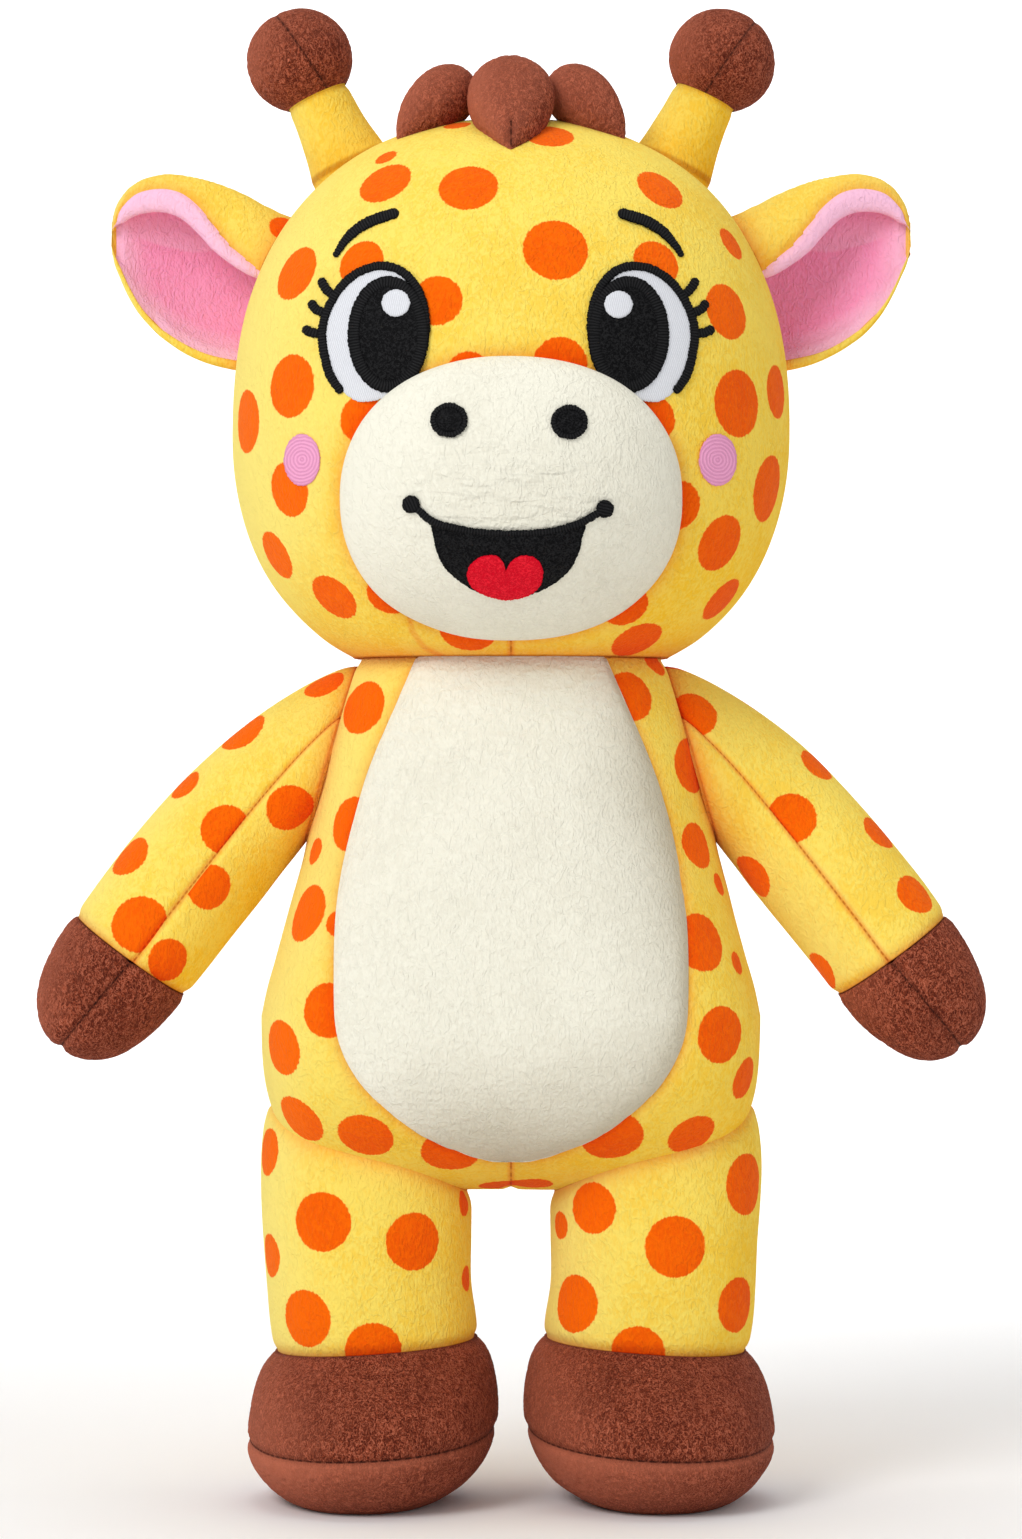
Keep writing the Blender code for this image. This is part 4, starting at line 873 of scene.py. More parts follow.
def patch_grid(x, z, centre, rings, surface, edge_power=4.0):
    """Rings of (x, z) points from a centre out to an outline in the front view, and each ring's share of the way out.
    The surface is not used.
    """
    share = np.sin(math.pi / 2 * np.arange(1, rings + 1) / rings)
    px = centre[0] + (x - centre[0])[None, :] * share[:, None]
    pz = centre[1] + (z - centre[1])[None, :] * share[:, None]
    return px, pz, np.broadcast_to(share[:, None], px.shape)


def build_muzzle():
    sides, rings = 300, 90
    x, z = oval(turns(sides), MUZZLE_HALF_WIDTH, MUZZLE_HALF_HEIGHT, MUZZLE_POWER)
    z = z + MUZZLE_Z
    px, pz, share = patch_grid(x, z, (0.0, MUZZLE_Z), rings, muzzle_front)
    py = muzzle_front(px, pz)
    tuck = head_front(px[-1], pz[-1]) + 1.2 * MM
    loops = np.stack([px, py, pz], axis=-1)
    under = np.stack([px[-1], tuck, pz[-1]], axis=-1)[None]
    loops = np.concatenate([loops, under])
    muzzle = Piece("muzzle_plush", tube(loops, first=(0, float(muzzle_front(0.0, MUZZLE_Z)), MUZZLE_Z)), cream)
    p = muzzle.rest
    flat = np.append(np.append(share.ravel(), np.ones(sides)), 0.0)
    muzzle.push(0.25 * MM * lumps(p, 18 * MM, 3))
    centre = np.exp(-((p[:, 0] / (26 * MM)) ** 2) - (((p[:, 2] - MUZZLE_Z - 2 * MM) / (17 * MM)) ** 2))
    muzzle.value("wave", centre * (flat < 0.999))
    # Painted light and shade on the muzzle, at less than full strength.
    plain(muzzle, gain=0.72)
    return muzzle.finish("head", ["muzzle"], "cream_plush", 0.9)


# Embroidery


def resampled(path, step):
    """A smooth curve through points, as points a fixed step apart."""
    path = np.asarray(path, float)
    count = len(path)
    found = []
    for i in range(count - 1):
        p0, p1 = path[max(i - 1, 0)], path[i]
        p2, p3 = path[i + 1], path[min(i + 2, count - 1)]
        for t in np.arange(0, 1, 0.02):
            found.append(0.5 * (2 * p1 + (p2 - p0) * t + (2 * p0 - 5 * p1 + 4 * p2 - p3) * t**2
                                + (3 * p1 - p0 - 3 * p2 + p3) * t**3))
    found.append(path[-1])
    found = np.array(found)
    far = np.append(0, np.cumsum(np.linalg.norm(np.diff(found[:, :2], axis=0), axis=1)))
    at = np.linspace(0, far[-1], max(int(far[-1] / step), 4) + 1)
    return np.stack([np.interp(at, far, found[:, i]) for i in range(found.shape[1])], axis=1), at


def ragged(count, seed, amount):
    return np.random.RandomState(seed).uniform(-amount, amount, count)


def stroke(name, path, surface, height, look, lift=0.0, seed=5, round_ends=True):
    """A raised line of satin stitches along (x, z, width) points on a surface."""
    points, far = resampled(path, 0.24 * MM)
    tangent = np.gradient(points[:, :2], axis=0)
    tangent /= np.linalg.norm(tangent, axis=1)[:, None]
    aside = np.stack([-tangent[:, 1], tangent[:, 0]], axis=1)
    half = points[:, 2] / 2
    if round_ends:
        for distance in (far, far[-1] - far):
            share = np.clip(distance / np.maximum(half, 1e-6), 0, 1)
            half = half * np.sqrt(np.clip(1 - (1 - share) ** 2, 0.02, 1))
    half_a = half + ragged(len(half), seed, 0.15 * MM)
    half_b = half + ragged(len(half), seed + 1, 0.15 * MM)
    across = np.append(np.insert(np.sin(np.linspace(-math.pi / 2, math.pi / 2, 11)), 0, -1.02), 1.02)
    columns = len(across)
    rows = []
    for k in across:
        reach = np.where(k > 0, half_a, half_b) * k
        x = points[:, 0] + aside[:, 0] * reach
        z = points[:, 1] + aside[:, 1] * reach
        dome = 0.35 + 0.65 * max(1 - abs(k) ** 2.6, 0.0) ** 0.5
        bulge = height * dome * np.clip(half / (0.5 * points[:, 2].max()), 0.3, 1)
        y = surface(x, z) - lift - bulge
        if abs(k) > 1:
            y = surface(x, z) + 0.5 * MM
        rows.append(np.stack([x, y, z], axis=-1))
    grid = np.stack(rows, axis=1)
    made = Piece(name, (grid.reshape(-1, 3), grid_faces(len(points), columns, False)), look)
    made.value("along", np.repeat(far, columns))
    # Painted shade at the stroke's sides, strongest at its edges.
    made.value("rim", np.tile(np.abs(across) ** 5, len(points)))
    return made


def patch(name, outline, surface, height, look, lift=0.0, turn=0.0, seed=5, centre=None, rough=0.13 * MM):
    """A raised filling of stitches inside an outline of (x, z) points on a surface."""
    closed = list(outline) + [outline[0]]
    points, far = resampled(closed, 0.3 * MM)
    points = points[:-1]
    middle = points.mean(axis=0) if centre is None else np.array(centre)
    away = points - middle
    length = np.linalg.norm(away, axis=1)
    points = middle + away * (1 + ragged(len(points), seed, rough) / length)[:, None]
    rings = max(int(length.max() / (0.55 * MM)), 6)
    x, z, share = patch_grid(points[:, 0], points[:, 1], middle, rings, surface)
    bulge = height * (0.35 + 0.65 * (1 - share**7) ** 0.6)
    y = surface(x, z) - lift - bulge
    loops = np.stack([x, y, z], axis=-1)
    foot = loops[-1:].copy()
    foot[..., 1] = surface(x[-1], z[-1]) + 0.5 * MM
    loops = np.concatenate([loops, foot])
    tip = (middle[0], float(surface(middle[0], middle[1])) - lift - height, middle[1])
    made = Piece(name, tube(loops, first=tip), look)
    p = made.rest
    made.value("along", p[:, 0] * math.cos(turn) + p[:, 2] * math.sin(turn))
    # Painted shade at the patch's outline, within about 0.8 mm of it.
    close = np.append(np.repeat(np.append(share[:, 0], 1.0), share.shape[1]), 0.0)
    made.value("rim", np.clip(1 - (1 - close) * length.mean() / (0.8 * MM), 0, 1) ** 2)
    return made


def mirrored(points, side):
    """Photo points of the toy's right eye, or the same mirrored for its left."""
    if side == "right":
        return points
    return tuple((2 * FACE_MIDDLE - point[0], *point[1:]) for point in points)


FACE_MIDDLE = 508.4
RIM_PATH = (
    (342, 393, 8.5), (330.5, 376, 9), (324.8, 357, 9), (322, 336, 9), (324.8, 317, 9), (333.4, 298, 9),
    (346.7, 281, 9), (363.9, 269.8, 9), (382.9, 266, 9), (400, 270.5, 9), (413.4, 283, 9), (421.5, 299, 9),
    (425.3, 318, 9), (425, 337, 9), (421, 354, 9), (412, 370, 8),
)
WHITE_OUTLINE = (
    (345, 394), (333, 376), (326, 357), (323, 336), (326, 317), (335, 298), (348, 282), (365, 271), (383, 268),
    (399, 272), (412, 285), (420, 300), (423, 320), (423, 340), (416, 362), (406, 378), (396, 390), (385, 397.5),
    (372, 401), (358, 401.5),
)
IRIS_MIDDLE = (388.2, 334.6)
IRIS_RING = (34.4, 52.2)
IRIS_RING_WIDTH = 12.6
PUPIL_MIDDLE = (390.6, 333.4)
PUPIL_HALF = (33.0, 51.0)
GLINTS = {"right": (396, 303.6), "left": (618.5, 305)}
LASHES = (
    ((336, 297, 8.6), (329, 292, 9.2), (324, 286, 9.2), (320, 278, 8.6)),
    ((326, 313.5, 8.6), (319, 311, 9.4), (314, 307.5, 9.4), (310, 300.5, 8.8)),
    ((321, 333.5, 8.6), (314, 333, 9.4), (308, 331, 9.4), (303, 327, 8.8)),
)
BROW = (
    (334.3, 257, 5.6), (342.5, 244, 8.4), (354, 231.5, 11), (369, 222, 12.2), (384, 216.5, 12), (399, 212, 11.4),
)
CHEEKS = {"right": (302, 460, 18.2, 26), "left": (718, 460, 19, 26)}
NOSTRILS = {"right": (449, 420, 18.6, 17.2), "left": (569.5, 422, 18.4, 17.2)}
MOUTH = (
    (430, 521), (432.5, 534), (436.5, 551), (444, 567), (456, 579), (469, 588), (485, 595), (508, 599.5),
    (524, 597), (537, 592.5), (549, 587), (563, 577), (573, 565), (579.5, 551), (582.5, 537), (585, 525.5),
    (571, 528), (556, 530.5), (537, 532), (510, 532.8), (488, 532.5), (466, 530), (447, 525.5),
)
LIP = (
    (411.5, 505, 7), (419.5, 511.5, 7.2), (429, 519.5, 7.6), (441, 525, 7.8), (466, 530.5, 7), (488, 533, 6.4),
    (510, 533.6, 6.2), (537, 532.6, 6.4), (558, 530, 7), (577, 524.5, 7.8), (590, 518, 7.6), (598, 513, 7.2),
    (605, 509, 7),
)
MOUTH_CORNERS = ((411, 504.6), (605, 509))
MOUTH_CORNER_RADIUS = 9.0
TONGUE = (
    (505.5, 571), (503, 562), (498, 557), (489.5, 555.5), (478, 558.5), (470, 566), (467, 575.5), (469.8, 584.5),
    (477, 591.5), (488, 596.5), (500, 599.6), (510, 600), (522, 598), (534, 592.5), (541, 584), (543, 574.5),
    (541.8, 566), (536.5, 559.3), (527, 555.6), (518.3, 557), (511, 562.3),
)


def pixels_on(points, surface):
    """(x, z) of photo points on a surface, with a width in metres where a point has one."""
    rows = np.array(points, float)
    x, z = place(rows[:, 0], rows[:, 1], surface)
    if rows.shape[1] < 3:
        return np.stack([x, z], axis=1)
    scale = PIXEL * (CAMERA_AWAY + surface(x, z)) / CAMERA_AWAY
    return np.stack([x, z, rows[:, 2] * scale], axis=1)


def ellipse(middle, half, count=40, extra=0.0, start=0.0):
    angle = turns(count) + start
    return tuple((middle[0] + (half[0] + extra) * math.cos(a), middle[1] + (half[1] + extra) * math.sin(a)) for a in angle)


def loop_of(middle, half, width, count=40):
    points = [(*point, width) for point in ellipse(middle, half, count)]
    return tuple(points + [points[0]])


def build_eye(side):
    flip = lambda points: mirrored(points, side)
    white = patch("eye_white_" + side + "_thread", pixels_on(flip(WHITE_OUTLINE), head_front), head_front,
                  0.5 * MM, white_thread, lift=0.15 * MM, turn=0.3, seed=21)
    white.finish("head", ["eye_white_" + side], "white_thread")
    pupil_outline = flip(ellipse(PUPIL_MIDDLE, PUPIL_HALF))
    pupil = patch("pupil_" + side + "_thread", pixels_on(pupil_outline, head_front), head_front,
                  0.55 * MM, black_filling, lift=0.75 * MM, turn=1.1, seed=22)
    pupil.finish("head", ["iris_" + side], "black_thread")
    ring = stroke("iris_ring_" + side + "_thread", pixels_on(flip(loop_of(IRIS_MIDDLE, IRIS_RING, IRIS_RING_WIDTH)), head_front),
                  head_front, 0.9 * MM, black_thread, lift=0.6 * MM, seed=23, round_ends=False)
    ring.finish("head", [], "black_thread")
    rim = stroke("eye_rim_" + side + "_thread", pixels_on(flip(RIM_PATH), head_front), head_front,
                 1.0 * MM, black_thread, lift=0.2 * MM, seed=24)
    rim.finish("head", ["eye_rim_" + side], "black_thread")
    spot = GLINTS[side]
    glint = patch("glint_" + side + "_thread", pixels_on(ellipse(spot, (14.2, 13.6)), head_front), head_front,
                  0.5 * MM, white_thread, lift=1.35 * MM, turn=0.2, seed=25)
    glint.finish("head", ["eye_glint_" + side], "white_thread")
    for i, lash in enumerate(LASHES):
        made = stroke("lash_%s_%d" % (side, i + 1), pixels_on(flip(lash), head_front), head_front,
                      0.8 * MM, black_thread, lift=0.1 * MM, seed=30 + i)
        made.finish("head", [], "black_thread")
    brow = stroke("brow_" + side + "_thread", pixels_on(flip(BROW), head_front), head_front,
                  0.9 * MM, black_thread, lift=0.15 * MM, seed=26)
    brow.finish("head", ["brow_" + side], "black_thread")


def build_cheek_and_nostril(side):
    u, v, wide, tall = CHEEKS[side]
    cheek = patch("cheek_" + side + "_thread", pixels_on(ellipse((u, v), (wide, tall)), head_front), head_front,
                  0.55 * MM, blush_thread, lift=0.1 * MM, turn=0.4, seed=41)
    cheek.value("along", np.hypot(cheek.rest[:, 0] - cheek.rest[:, 0].mean(), cheek.rest[:, 2] - cheek.rest[:, 2].mean()))
    cheek.finish("head", ["cheek_" + side], "pink_thread")
    u, v, wide, tall = NOSTRILS[side]
    disc = patch("nostril_" + side + "_thread", pixels_on(ellipse((u, v), (wide - 4, tall - 4)), muzzle_front), muzzle_front,
                 0.5 * MM, black_filling, lift=0.35 * MM, turn=0.7, seed=42)
    disc.finish("head", ["nostril_" + side], "black_thread")
    ring = stroke("nostril_ring_" + side, pixels_on(loop_of((u, v), (wide - 2.6, tall - 2.6), 5.6, 24), muzzle_front),
                  muzzle_front, 0.75 * MM, black_thread, lift=0.2 * MM, seed=43, round_ends=False)
    ring.finish("head", [], "black_thread")


def build_mouth():
    mouth = patch("mouth_thread", pixels_on(MOUTH, muzzle_front), muzzle_front, 0.5 * MM, black_filling,
                  lift=0.15 * MM, turn=0.5, seed=51, centre=pixels_on([(508, 560)], muzzle_front)[0])
    mouth.finish("head", ["mouth"], "black_thread")
    lip = stroke("lip_thread", pixels_on(LIP, muzzle_front), muzzle_front, 0.85 * MM, black_thread, lift=0.25 * MM, seed=52)
    lip.finish("head", [], "black_thread")
    for i, (u, v) in enumerate(MOUTH_CORNERS):
        size = (MOUTH_CORNER_RADIUS, MOUTH_CORNER_RADIUS)
        dot = patch("mouth_corner_%d" % (i + 1), pixels_on(ellipse((u, v), size, 24), muzzle_front), muzzle_front,
                    0.95 * MM, black_thread, lift=0.3 * MM, turn=0.4 + i, seed=53 + i)
        dot.finish("head", [], "black_thread")
    tongue = patch("tongue_thread", pixels_on(TONGUE, muzzle_front), muzzle_front, 0.8 * MM, red_thread,
                   lift=0.6 * MM, turn=0.9, seed=55, centre=pixels_on([(507, 580)], muzzle_front)[0])
    tongue.push(0.10 * MM * curls(tongue.rest, 1.1 * MM, 9))
    tongue.finish("head", ["tongue"], "red_thread")


# Horns, hair

NAP = 0.22 * MM


def along_axis(start, axis, across, profile, sides, thickness=1.0):
    start, axis, across = (np.array(v, float) for v in (start, axis, across))
    other = np.cross(axis, across)
    other /= np.linalg.norm(other)
    angle = turns(sides)
    spoke = across[None, :] * np.cos(angle)[:, None] + other[None, :] * np.sin(angle)[:, None] * thickness
    return np.stack([start + axis * far + spoke * radius for far, radius in profile])


def brown_piece(name, shape, body, nodes, seam=None, along=None, flats=(), draw=0.8 * MM, painted_shade_shift=0.0):
    """A stuffed brown piece with its curly pile standing off the surface."""
    made = Piece(name, shape, brown)
    p = made.rest
    distance = np.full(len(p), 1.0) if seam is None else seam
    depth = groove(distance, 1.5 * MM, draw) + 0.3 * MM * lumps(p, 12 * MM, 4)
    made.push(depth, flats)
    made.push(NAP * curls(p, 1.7 * MM, 6) * np.clip(distance / (1.2 * MM), 0.2, 1), flats)
    # The shift moves the piece's painted light and shade: above 0 more painted shade, below 0 more painted light.
    plain(made, distance, along, painted_shade_shift=painted_shade_shift)
    return made.finish(body, nodes, "brown_plush", 0.9)


def build_horn(side, sign):
    axis = np.array([sign * math.sin(HORN_TILT), 0, math.cos(HORN_TILT)])
    level = np.array([math.cos(HORN_TILT), 0, -sign * math.sin(HORN_TILT)])
    z = HEAD_Z + HEAD_UPPER_REACH * float(
        remainder(HEAD_POWER, HORN_ROOT_OUT / HEAD_HALF_WIDTH, HORN_ROOT_BACK / HEAD_HALF_DEPTH)
    )
    root = np.array([sign * HORN_ROOT_OUT, HORN_ROOT_BACK, z])
    profile = []
    for share in np.linspace(1.04, -0.55, 70):
        flare = 1 + 0.14 * max(1 - max(share, 0) / 0.72, 0.0) ** 1.6
        radius = mix(HORN_ROOT_RADIUS, HORN_TOP_RADIUS, min(max(share, 0), 1)) * flare
        profile.append((HORN_LENGTH * share, radius))
    rings = along_axis(root, axis, level, profile, 120)
    stalk = Piece("horn_stalk_" + side + "_plush", tube(rings, first=root + axis * HORN_LENGTH * 1.04), yellow)
    p = stalk.rest
    far = (p - root) @ axis
    top = np.abs(far - HORN_LENGTH)
    across = (p - root) @ level
    behind = np.where(p[:, 1] > root[1], np.abs(across), 1.0)
    stalk.push(groove(top, 1.2 * MM, 0.3 * MM) + groove(behind, 1.2 * MM, 0.7 * MM) + 0.25 * MM * lumps(p, 9 * MM, 2))
    # Painted shade near the horn's root, and more painted shade over the whole stalk.
    plain(stalk, np.minimum(behind, top + 0.15 * MM), far, np.abs(far) * 0.5, painted_shade_shift=0.28)
    stalk.finish("head", ["horn_stalk_" + side], "yellow_plush", 0.95)
    seat = root + axis * (HORN_LENGTH + GAP)
    rise = math.sqrt(KNOB_RADIUS**2 - HORN_TOP_RADIUS**2) * KNOB_HEIGHT_SHARE
    lowest = math.asin(rise / KNOB_HEIGHT_SHARE / KNOB_RADIUS)
    lean = mix(-lowest, math.pi / 2, np.arange(110) / 110)
    profile = [(rise + math.sin(a) * KNOB_RADIUS * KNOB_HEIGHT_SHARE, KNOB_RADIUS * math.cos(a)) for a in lean]
    rings = along_axis(seat, axis, level, profile, 200)
    top = seat + axis * (rise + KNOB_RADIUS * KNOB_HEIGHT_SHARE)
    shape = tube(rings, last=top)
    p = shape[0]
    middle = seat + axis * rise
    way = level * 0.98 - axis * 0.16 * sign
    seam = np.abs((p - middle) @ way / np.linalg.norm(way) - 1.5 * MM)
    flats = [(np.abs((p - seat) @ axis), axis)]
    # A little more painted light on the knob.
    brown_piece("horn_knob_" + side + "_plush", shape, "head", ["horn_knob_" + side], seam, (p - middle) @ axis, flats,
                draw=0.15 * MM, painted_shade_shift=-0.12)


def drop_profile(length, radius, count=90):
    lean = math.pi * np.arange(1, count) / count
    swell = np.sin(lean) * np.cos(lean / 2) ** 0.75
    return list(zip(length * (1 - np.cos(lean)) / 2, radius * swell * 1.3))


def build_tuft(name, start, ahead, across, length, radius, half_thickness, seamed=False):
    flat = half_thickness / radius
    rings = along_axis(start, ahead, across, drop_profile(length, radius), 150, flat)
    shape = tube(rings, first=start, last=start + ahead * length)
    p = shape[0]
    other = np.cross(ahead, across)
    front = (p - start) @ other * (1 if other[1] < 0 else -1)
    seam = np.where((front > 0) & seamed, np.abs((p - start) @ across), 1.0)
    far = (p - start) @ ahead
    seam = np.maximum(seam, np.clip((0.84 * length - far) / 2, 0, None))
    # More painted light on the tufts.
    brown_piece(name + "_plush", shape, "head", [name], seam, far, draw=0.35 * MM, painted_shade_shift=-0.38)


def build_hair():
    top = HEAD_Z + HEAD_UPPER_REACH
    ahead = np.array([0, -math.cos(FRONT_TUFT_PITCH), -math.sin(FRONT_TUFT_PITCH)])
    start = np.array([0, -FRONT_TUFT_FORWARD, top + FRONT_TUFT_LIFT])
    sizes = FRONT_TUFT_LENGTH, FRONT_TUFT_RADIUS, FRONT_TUFT_HALF_THICKNESS
    build_tuft("hair_front", start, ahead, np.array([1.0, 0, 0]), *sizes, seamed=True)
    for side, sign in SIDES:
        lean = math.cos(SIDE_TUFT_PITCH)
        ahead = np.array([sign * lean * math.cos(SIDE_TUFT_TURN), -lean * math.sin(SIDE_TUFT_TURN), -math.sin(SIDE_TUFT_PITCH)])
        start = np.array([sign * SIDE_TUFT_OUT, -SIDE_TUFT_FORWARD, top + SIDE_TUFT_LIFT])
        across = np.cross([0, 0, 1.0], ahead)
        across /= np.linalg.norm(across)
        sizes = SIDE_TUFT_LENGTH, SIDE_TUFT_RADIUS, SIDE_TUFT_HALF_THICKNESS
        build_tuft("hair_" + side, start, ahead, across, *sizes)


# Ears: stations from inside the root to the tip, in photo pixels of the toy's left ear


# u, top of the outline, top of the lining, lower edge of the fold, foot of the lining, foot of the outline
EAR_STATIONS = (
    (716, 222, 296, 300, 379, 384),
    (728, 216, 290, 294, 374, 380),
    (742, 210, 284, 288, 369, 376),
    (752, 205, 279, 283, 366, 374),
    (761, 201, 273, 277, 363, 372),
    (776, 193, 260, 270, 360, 370),
    (792, 186, 246, 260, 357, 367.5),
    (808, 180, 226, 247, 353.5, 364),
    (822, 176, 208, 231, 349, 359.5),
    (838, 173, 194, 216, 341, 352),
    (853, 171, 188, 209, 332.5, 342.5),
    (868, 172.5, 187, 207, 318, 331),
    (884, 177, 190, 209, 302, 312.5),
    (896, 185, 198, 214, 283, 292),
    (904, 194.5, 209, 221, 265, 274),
    (909, 203, 222, 229, 250, 262.5),
    (912.5, 213, 231, 233, 238, 250),
)
EAR_HALF_THICK = 1.5 * MM
EAR_FOLD = 9.0 * MM
EAR_BOWL = 12.0 * MM
EAR_COUNT = 72
EAR_CAP = 9


def ear_spine(share, top, fold, low):
    """The middle of the ear's thickness at one station, as (y, z) from its foot round to the fold's edge."""
    thick = EAR_HALF_THICK
    low, top, fold = low + thick, top - thick, fold + thick
    height = top - low
    bowl = EAR_BOWL * math.sin(math.pi * min(0.12 + 0.88 * share, 1.0) ** 0.8) ** 0.7
    ahead = EAR_FOLD * (1 - share) ** 0.8 + 1.0 * MM
    drop = top - fold
    return np.array([
        (EAR_BACK - 1.5 * MM, low),
        (EAR_BACK + bowl * 0.50, low + height * 0.10),
        (EAR_BACK + bowl * 0.92, low + height * 0.32),
        (EAR_BACK + bowl * 0.95, low + height * 0.60),
        (EAR_BACK + bowl * 0.55, low + height * 0.87),
        (EAR_BACK - ahead * 0.15, top),
        (EAR_BACK - ahead * 0.80, top - drop * 0.30),
        (EAR_BACK - ahead * 1.05, top - drop * 0.70),
        (EAR_BACK - ahead * 1.00, fold),
    ])


def spaced(path, count):
    smooth, far = resampled(path, 0.4 * MM)
    at = np.linspace(0, far[-1], count)
    return np.stack([np.interp(at, far, smooth[:, i]) for i in range(2)], axis=1)


def ear_loops(side, sign):
    """Closed cross-sections of the ear, and for each point how far it lies inside the lining's edge."""
    rows, _ = resampled(np.array(EAR_STATIONS, float), 1.3)
    x = (rows[:, 0] - PICTURE_WIDE / 2) * PIXEL
    levels = CAMERA_HEIGHT + (PICTURE_TALL / 2 - rows[:, 1:]) * PIXEL
    count, cap = EAR_COUNT, EAR_CAP
    loops, lining = [], []
    first, last = x[0], x[-1]
    for i, (top, seam_top, fold, seam_low, low) in enumerate(levels):
        share = (x[i] - first) / (last - first)
        spine = spaced(ear_spine(share, top, fold, low), count)
        way = np.gradient(spine, axis=0)
        way /= np.linalg.norm(way, axis=1)[:, None]
        aside = np.stack([-way[:, 1], way[:, 0]], axis=1)
        thick = EAR_HALF_THICK * math.sqrt(1 - 0.97 * min(max((rows[i, 0] - 907) / 5.5, 0), 1) ** 2)
        front = spine + aside * thick
        back = spine - aside * thick
        angle = np.linspace(0, math.pi, cap + 2)[1:-1, None]
        tip = spine[-1] + thick * (aside[-1] * np.cos(angle) + way[-1] * np.sin(angle))
        foot = spine[0] + thick * (-aside[0] * np.cos(angle) - way[0] * np.sin(angle))
        section = np.concatenate([front, tip, back[::-1], foot])
        ring = np.stack([np.full(len(section), x[i]), section[:, 0], section[:, 1]], axis=-1)
        inside = np.full(len(section), -1.0)
        n = count + cap
        at = np.arange(len(section))
        lower = np.where(at < count, section[:, 1] - seam_low, -1.0)
        before = np.minimum(seam_top - section[:, 1], EAR_BACK + 0.3 * MM - section[:, 0])
        folded = np.where((at >= count // 2) & (at < n + count // 2), before, -1.0)
        inner = (at < count)
        inside = np.where(inner, np.where(at < count // 2, lower, 4 * MM), folded)
        reach = (907.0 - rows[i, 0]) * PIXEL
        inside = np.minimum(inside, reach)
        loops.append(ring)
        lining.append(inside)
    loops, lining = np.array(loops), np.array(lining)
    floor = head_side(loops[..., 1], loops[..., 2]) - 1.2 * MM
    loops[..., 0] = np.maximum(loops[..., 0], floor)
    loops[..., 0] *= sign
    return loops, lining


def build_ear(side, sign):
    loops, lining = ear_loops(side, sign)
    first, last = loops[0].mean(axis=0), loops[-1].mean(axis=0)
    back = Piece("ear_back_" + side + "_plush", tube(loops, first=first, last=last), spotted)
    p = back.rest
    foot = (sign * 0.0669, EAR_BACK + CENTRING, 0.323)
    bend = ("head", "ear_" + side, foot, (sign * 0.0769, EAR_BACK + CENTRING, 0.327))
    behind = np.append((np.arange(loops.shape[1]) >= EAR_COUNT + EAR_CAP)[None].repeat(len(loops), 0), [False, True])
    behind &= back.normals()[:, 1] > 0.4
    spot_field(back, ((283, 224, 15),) if side == "right" else (), 71 + sign, only=behind)
    inside = np.append(lining.ravel(), [-1.0, -1.0])
    root = np.abs(np.abs(p[:, 0]) - head_side(p[:, 1], p[:, 2]))
    back.push(groove(np.abs(inside), 1.2 * MM, 0.5 * MM) + 0.3 * MM * lumps(p, 14 * MM, 41 + sign))
    # Painted shade near the ear's root and on and near the lining's area.
    plain(back, None, None, np.minimum(root, np.maximum(-inside, 0) * 1.5 + 1.5 * MM))
    moved = back.points[: loops.shape[0] * loops.shape[1]].reshape(loops.shape).copy()
    ways = back.normals()[: loops.shape[0] * loops.shape[1]].reshape(loops.shape)
    back.finish("head", ["ear_back_" + side], "yellow_plush", 0.5, bend)
    rise = 0.9 * MM * np.clip(lining / (1.5 * MM), -1.0, 1.0)
    shell = moved + ways * rise[..., None]
    keep = lining > -0.7 * MM
    columns = loops.shape[1]
    faces = []
    for quad in grid_faces(loops.shape[0], columns, True):
        if all(keep.ravel()[i] for i in quad):
            faces.append(quad)
    used = sorted({i for quad in faces for i in quad})
    order = {old: new for new, old in enumerate(used)}
    faces = [[order[i] for i in quad] for quad in faces]
    points = shell.reshape(-1, 3)[used]
    pad = Piece("ear_lining_" + side + "_plush", (points, faces), pink)
    wanted = ways.reshape(-1, 3)[used]
    if (pad.normals() * wanted).sum() < 0:
        pad.mesh.flip_normals()
    inside = lining.ravel()[used]
    bowl = np.clip((pad.rest[:, 1] - (EAR_BACK - 4 * MM)) / (8 * MM), 0, 1)
    below = np.clip((pad.rest[:, 2].max() - 8 * MM - pad.rest[:, 2]) * 0.5, 0, None)
    # Painted shade in the bowl, strongest high up under the fold.
    plain(pad, None, None, np.where(bowl > 0.3, below + 1.5 * MM, 14 * MM))
    # Painted light on the lining's edges and on its part in front of the bowl.
    edge = 1 - np.clip(inside / (7.5 * MM), 0, 1)
    pad.value("painted_light_and_shade", -np.maximum(edge, 1 - bowl) * 0.85)
    pad.finish("head", ["ear_lining_" + side], "pink_plush", 0.4, bend)


# Torso


def belly_edge(z):
    """Half-width of the belly panel at level z, and zero below it."""
    low = HIP_HEIGHT - BELLY_BELOW_HIP
    share = (z - low) / (NECK_Z - low)
    return np.where(share < 0, 0.0, BELLY_HALF_WIDTH * curve(BELLY_SHARES, share))


def belly_outline(count):
    """Points up one side of the panel, evenly spaced, from its foot in the middle out and up to its top at the neck,
    at positive x.
    """
    low = HIP_HEIGHT - BELLY_BELOW_HIP
    rows = [(0.0, low - 0.1 * MM)]
    for share, width in BELLY_SHARES:
        rows.append((BELLY_HALF_WIDTH * width, low + (NECK_Z - low) * share))
    right, far = resampled(rows, 0.5 * MM)
    at = np.linspace(0, far[-1], count)
    x, z = np.interp(at, far, right[:, 0]), np.interp(at, far, right[:, 1])
    return x, z


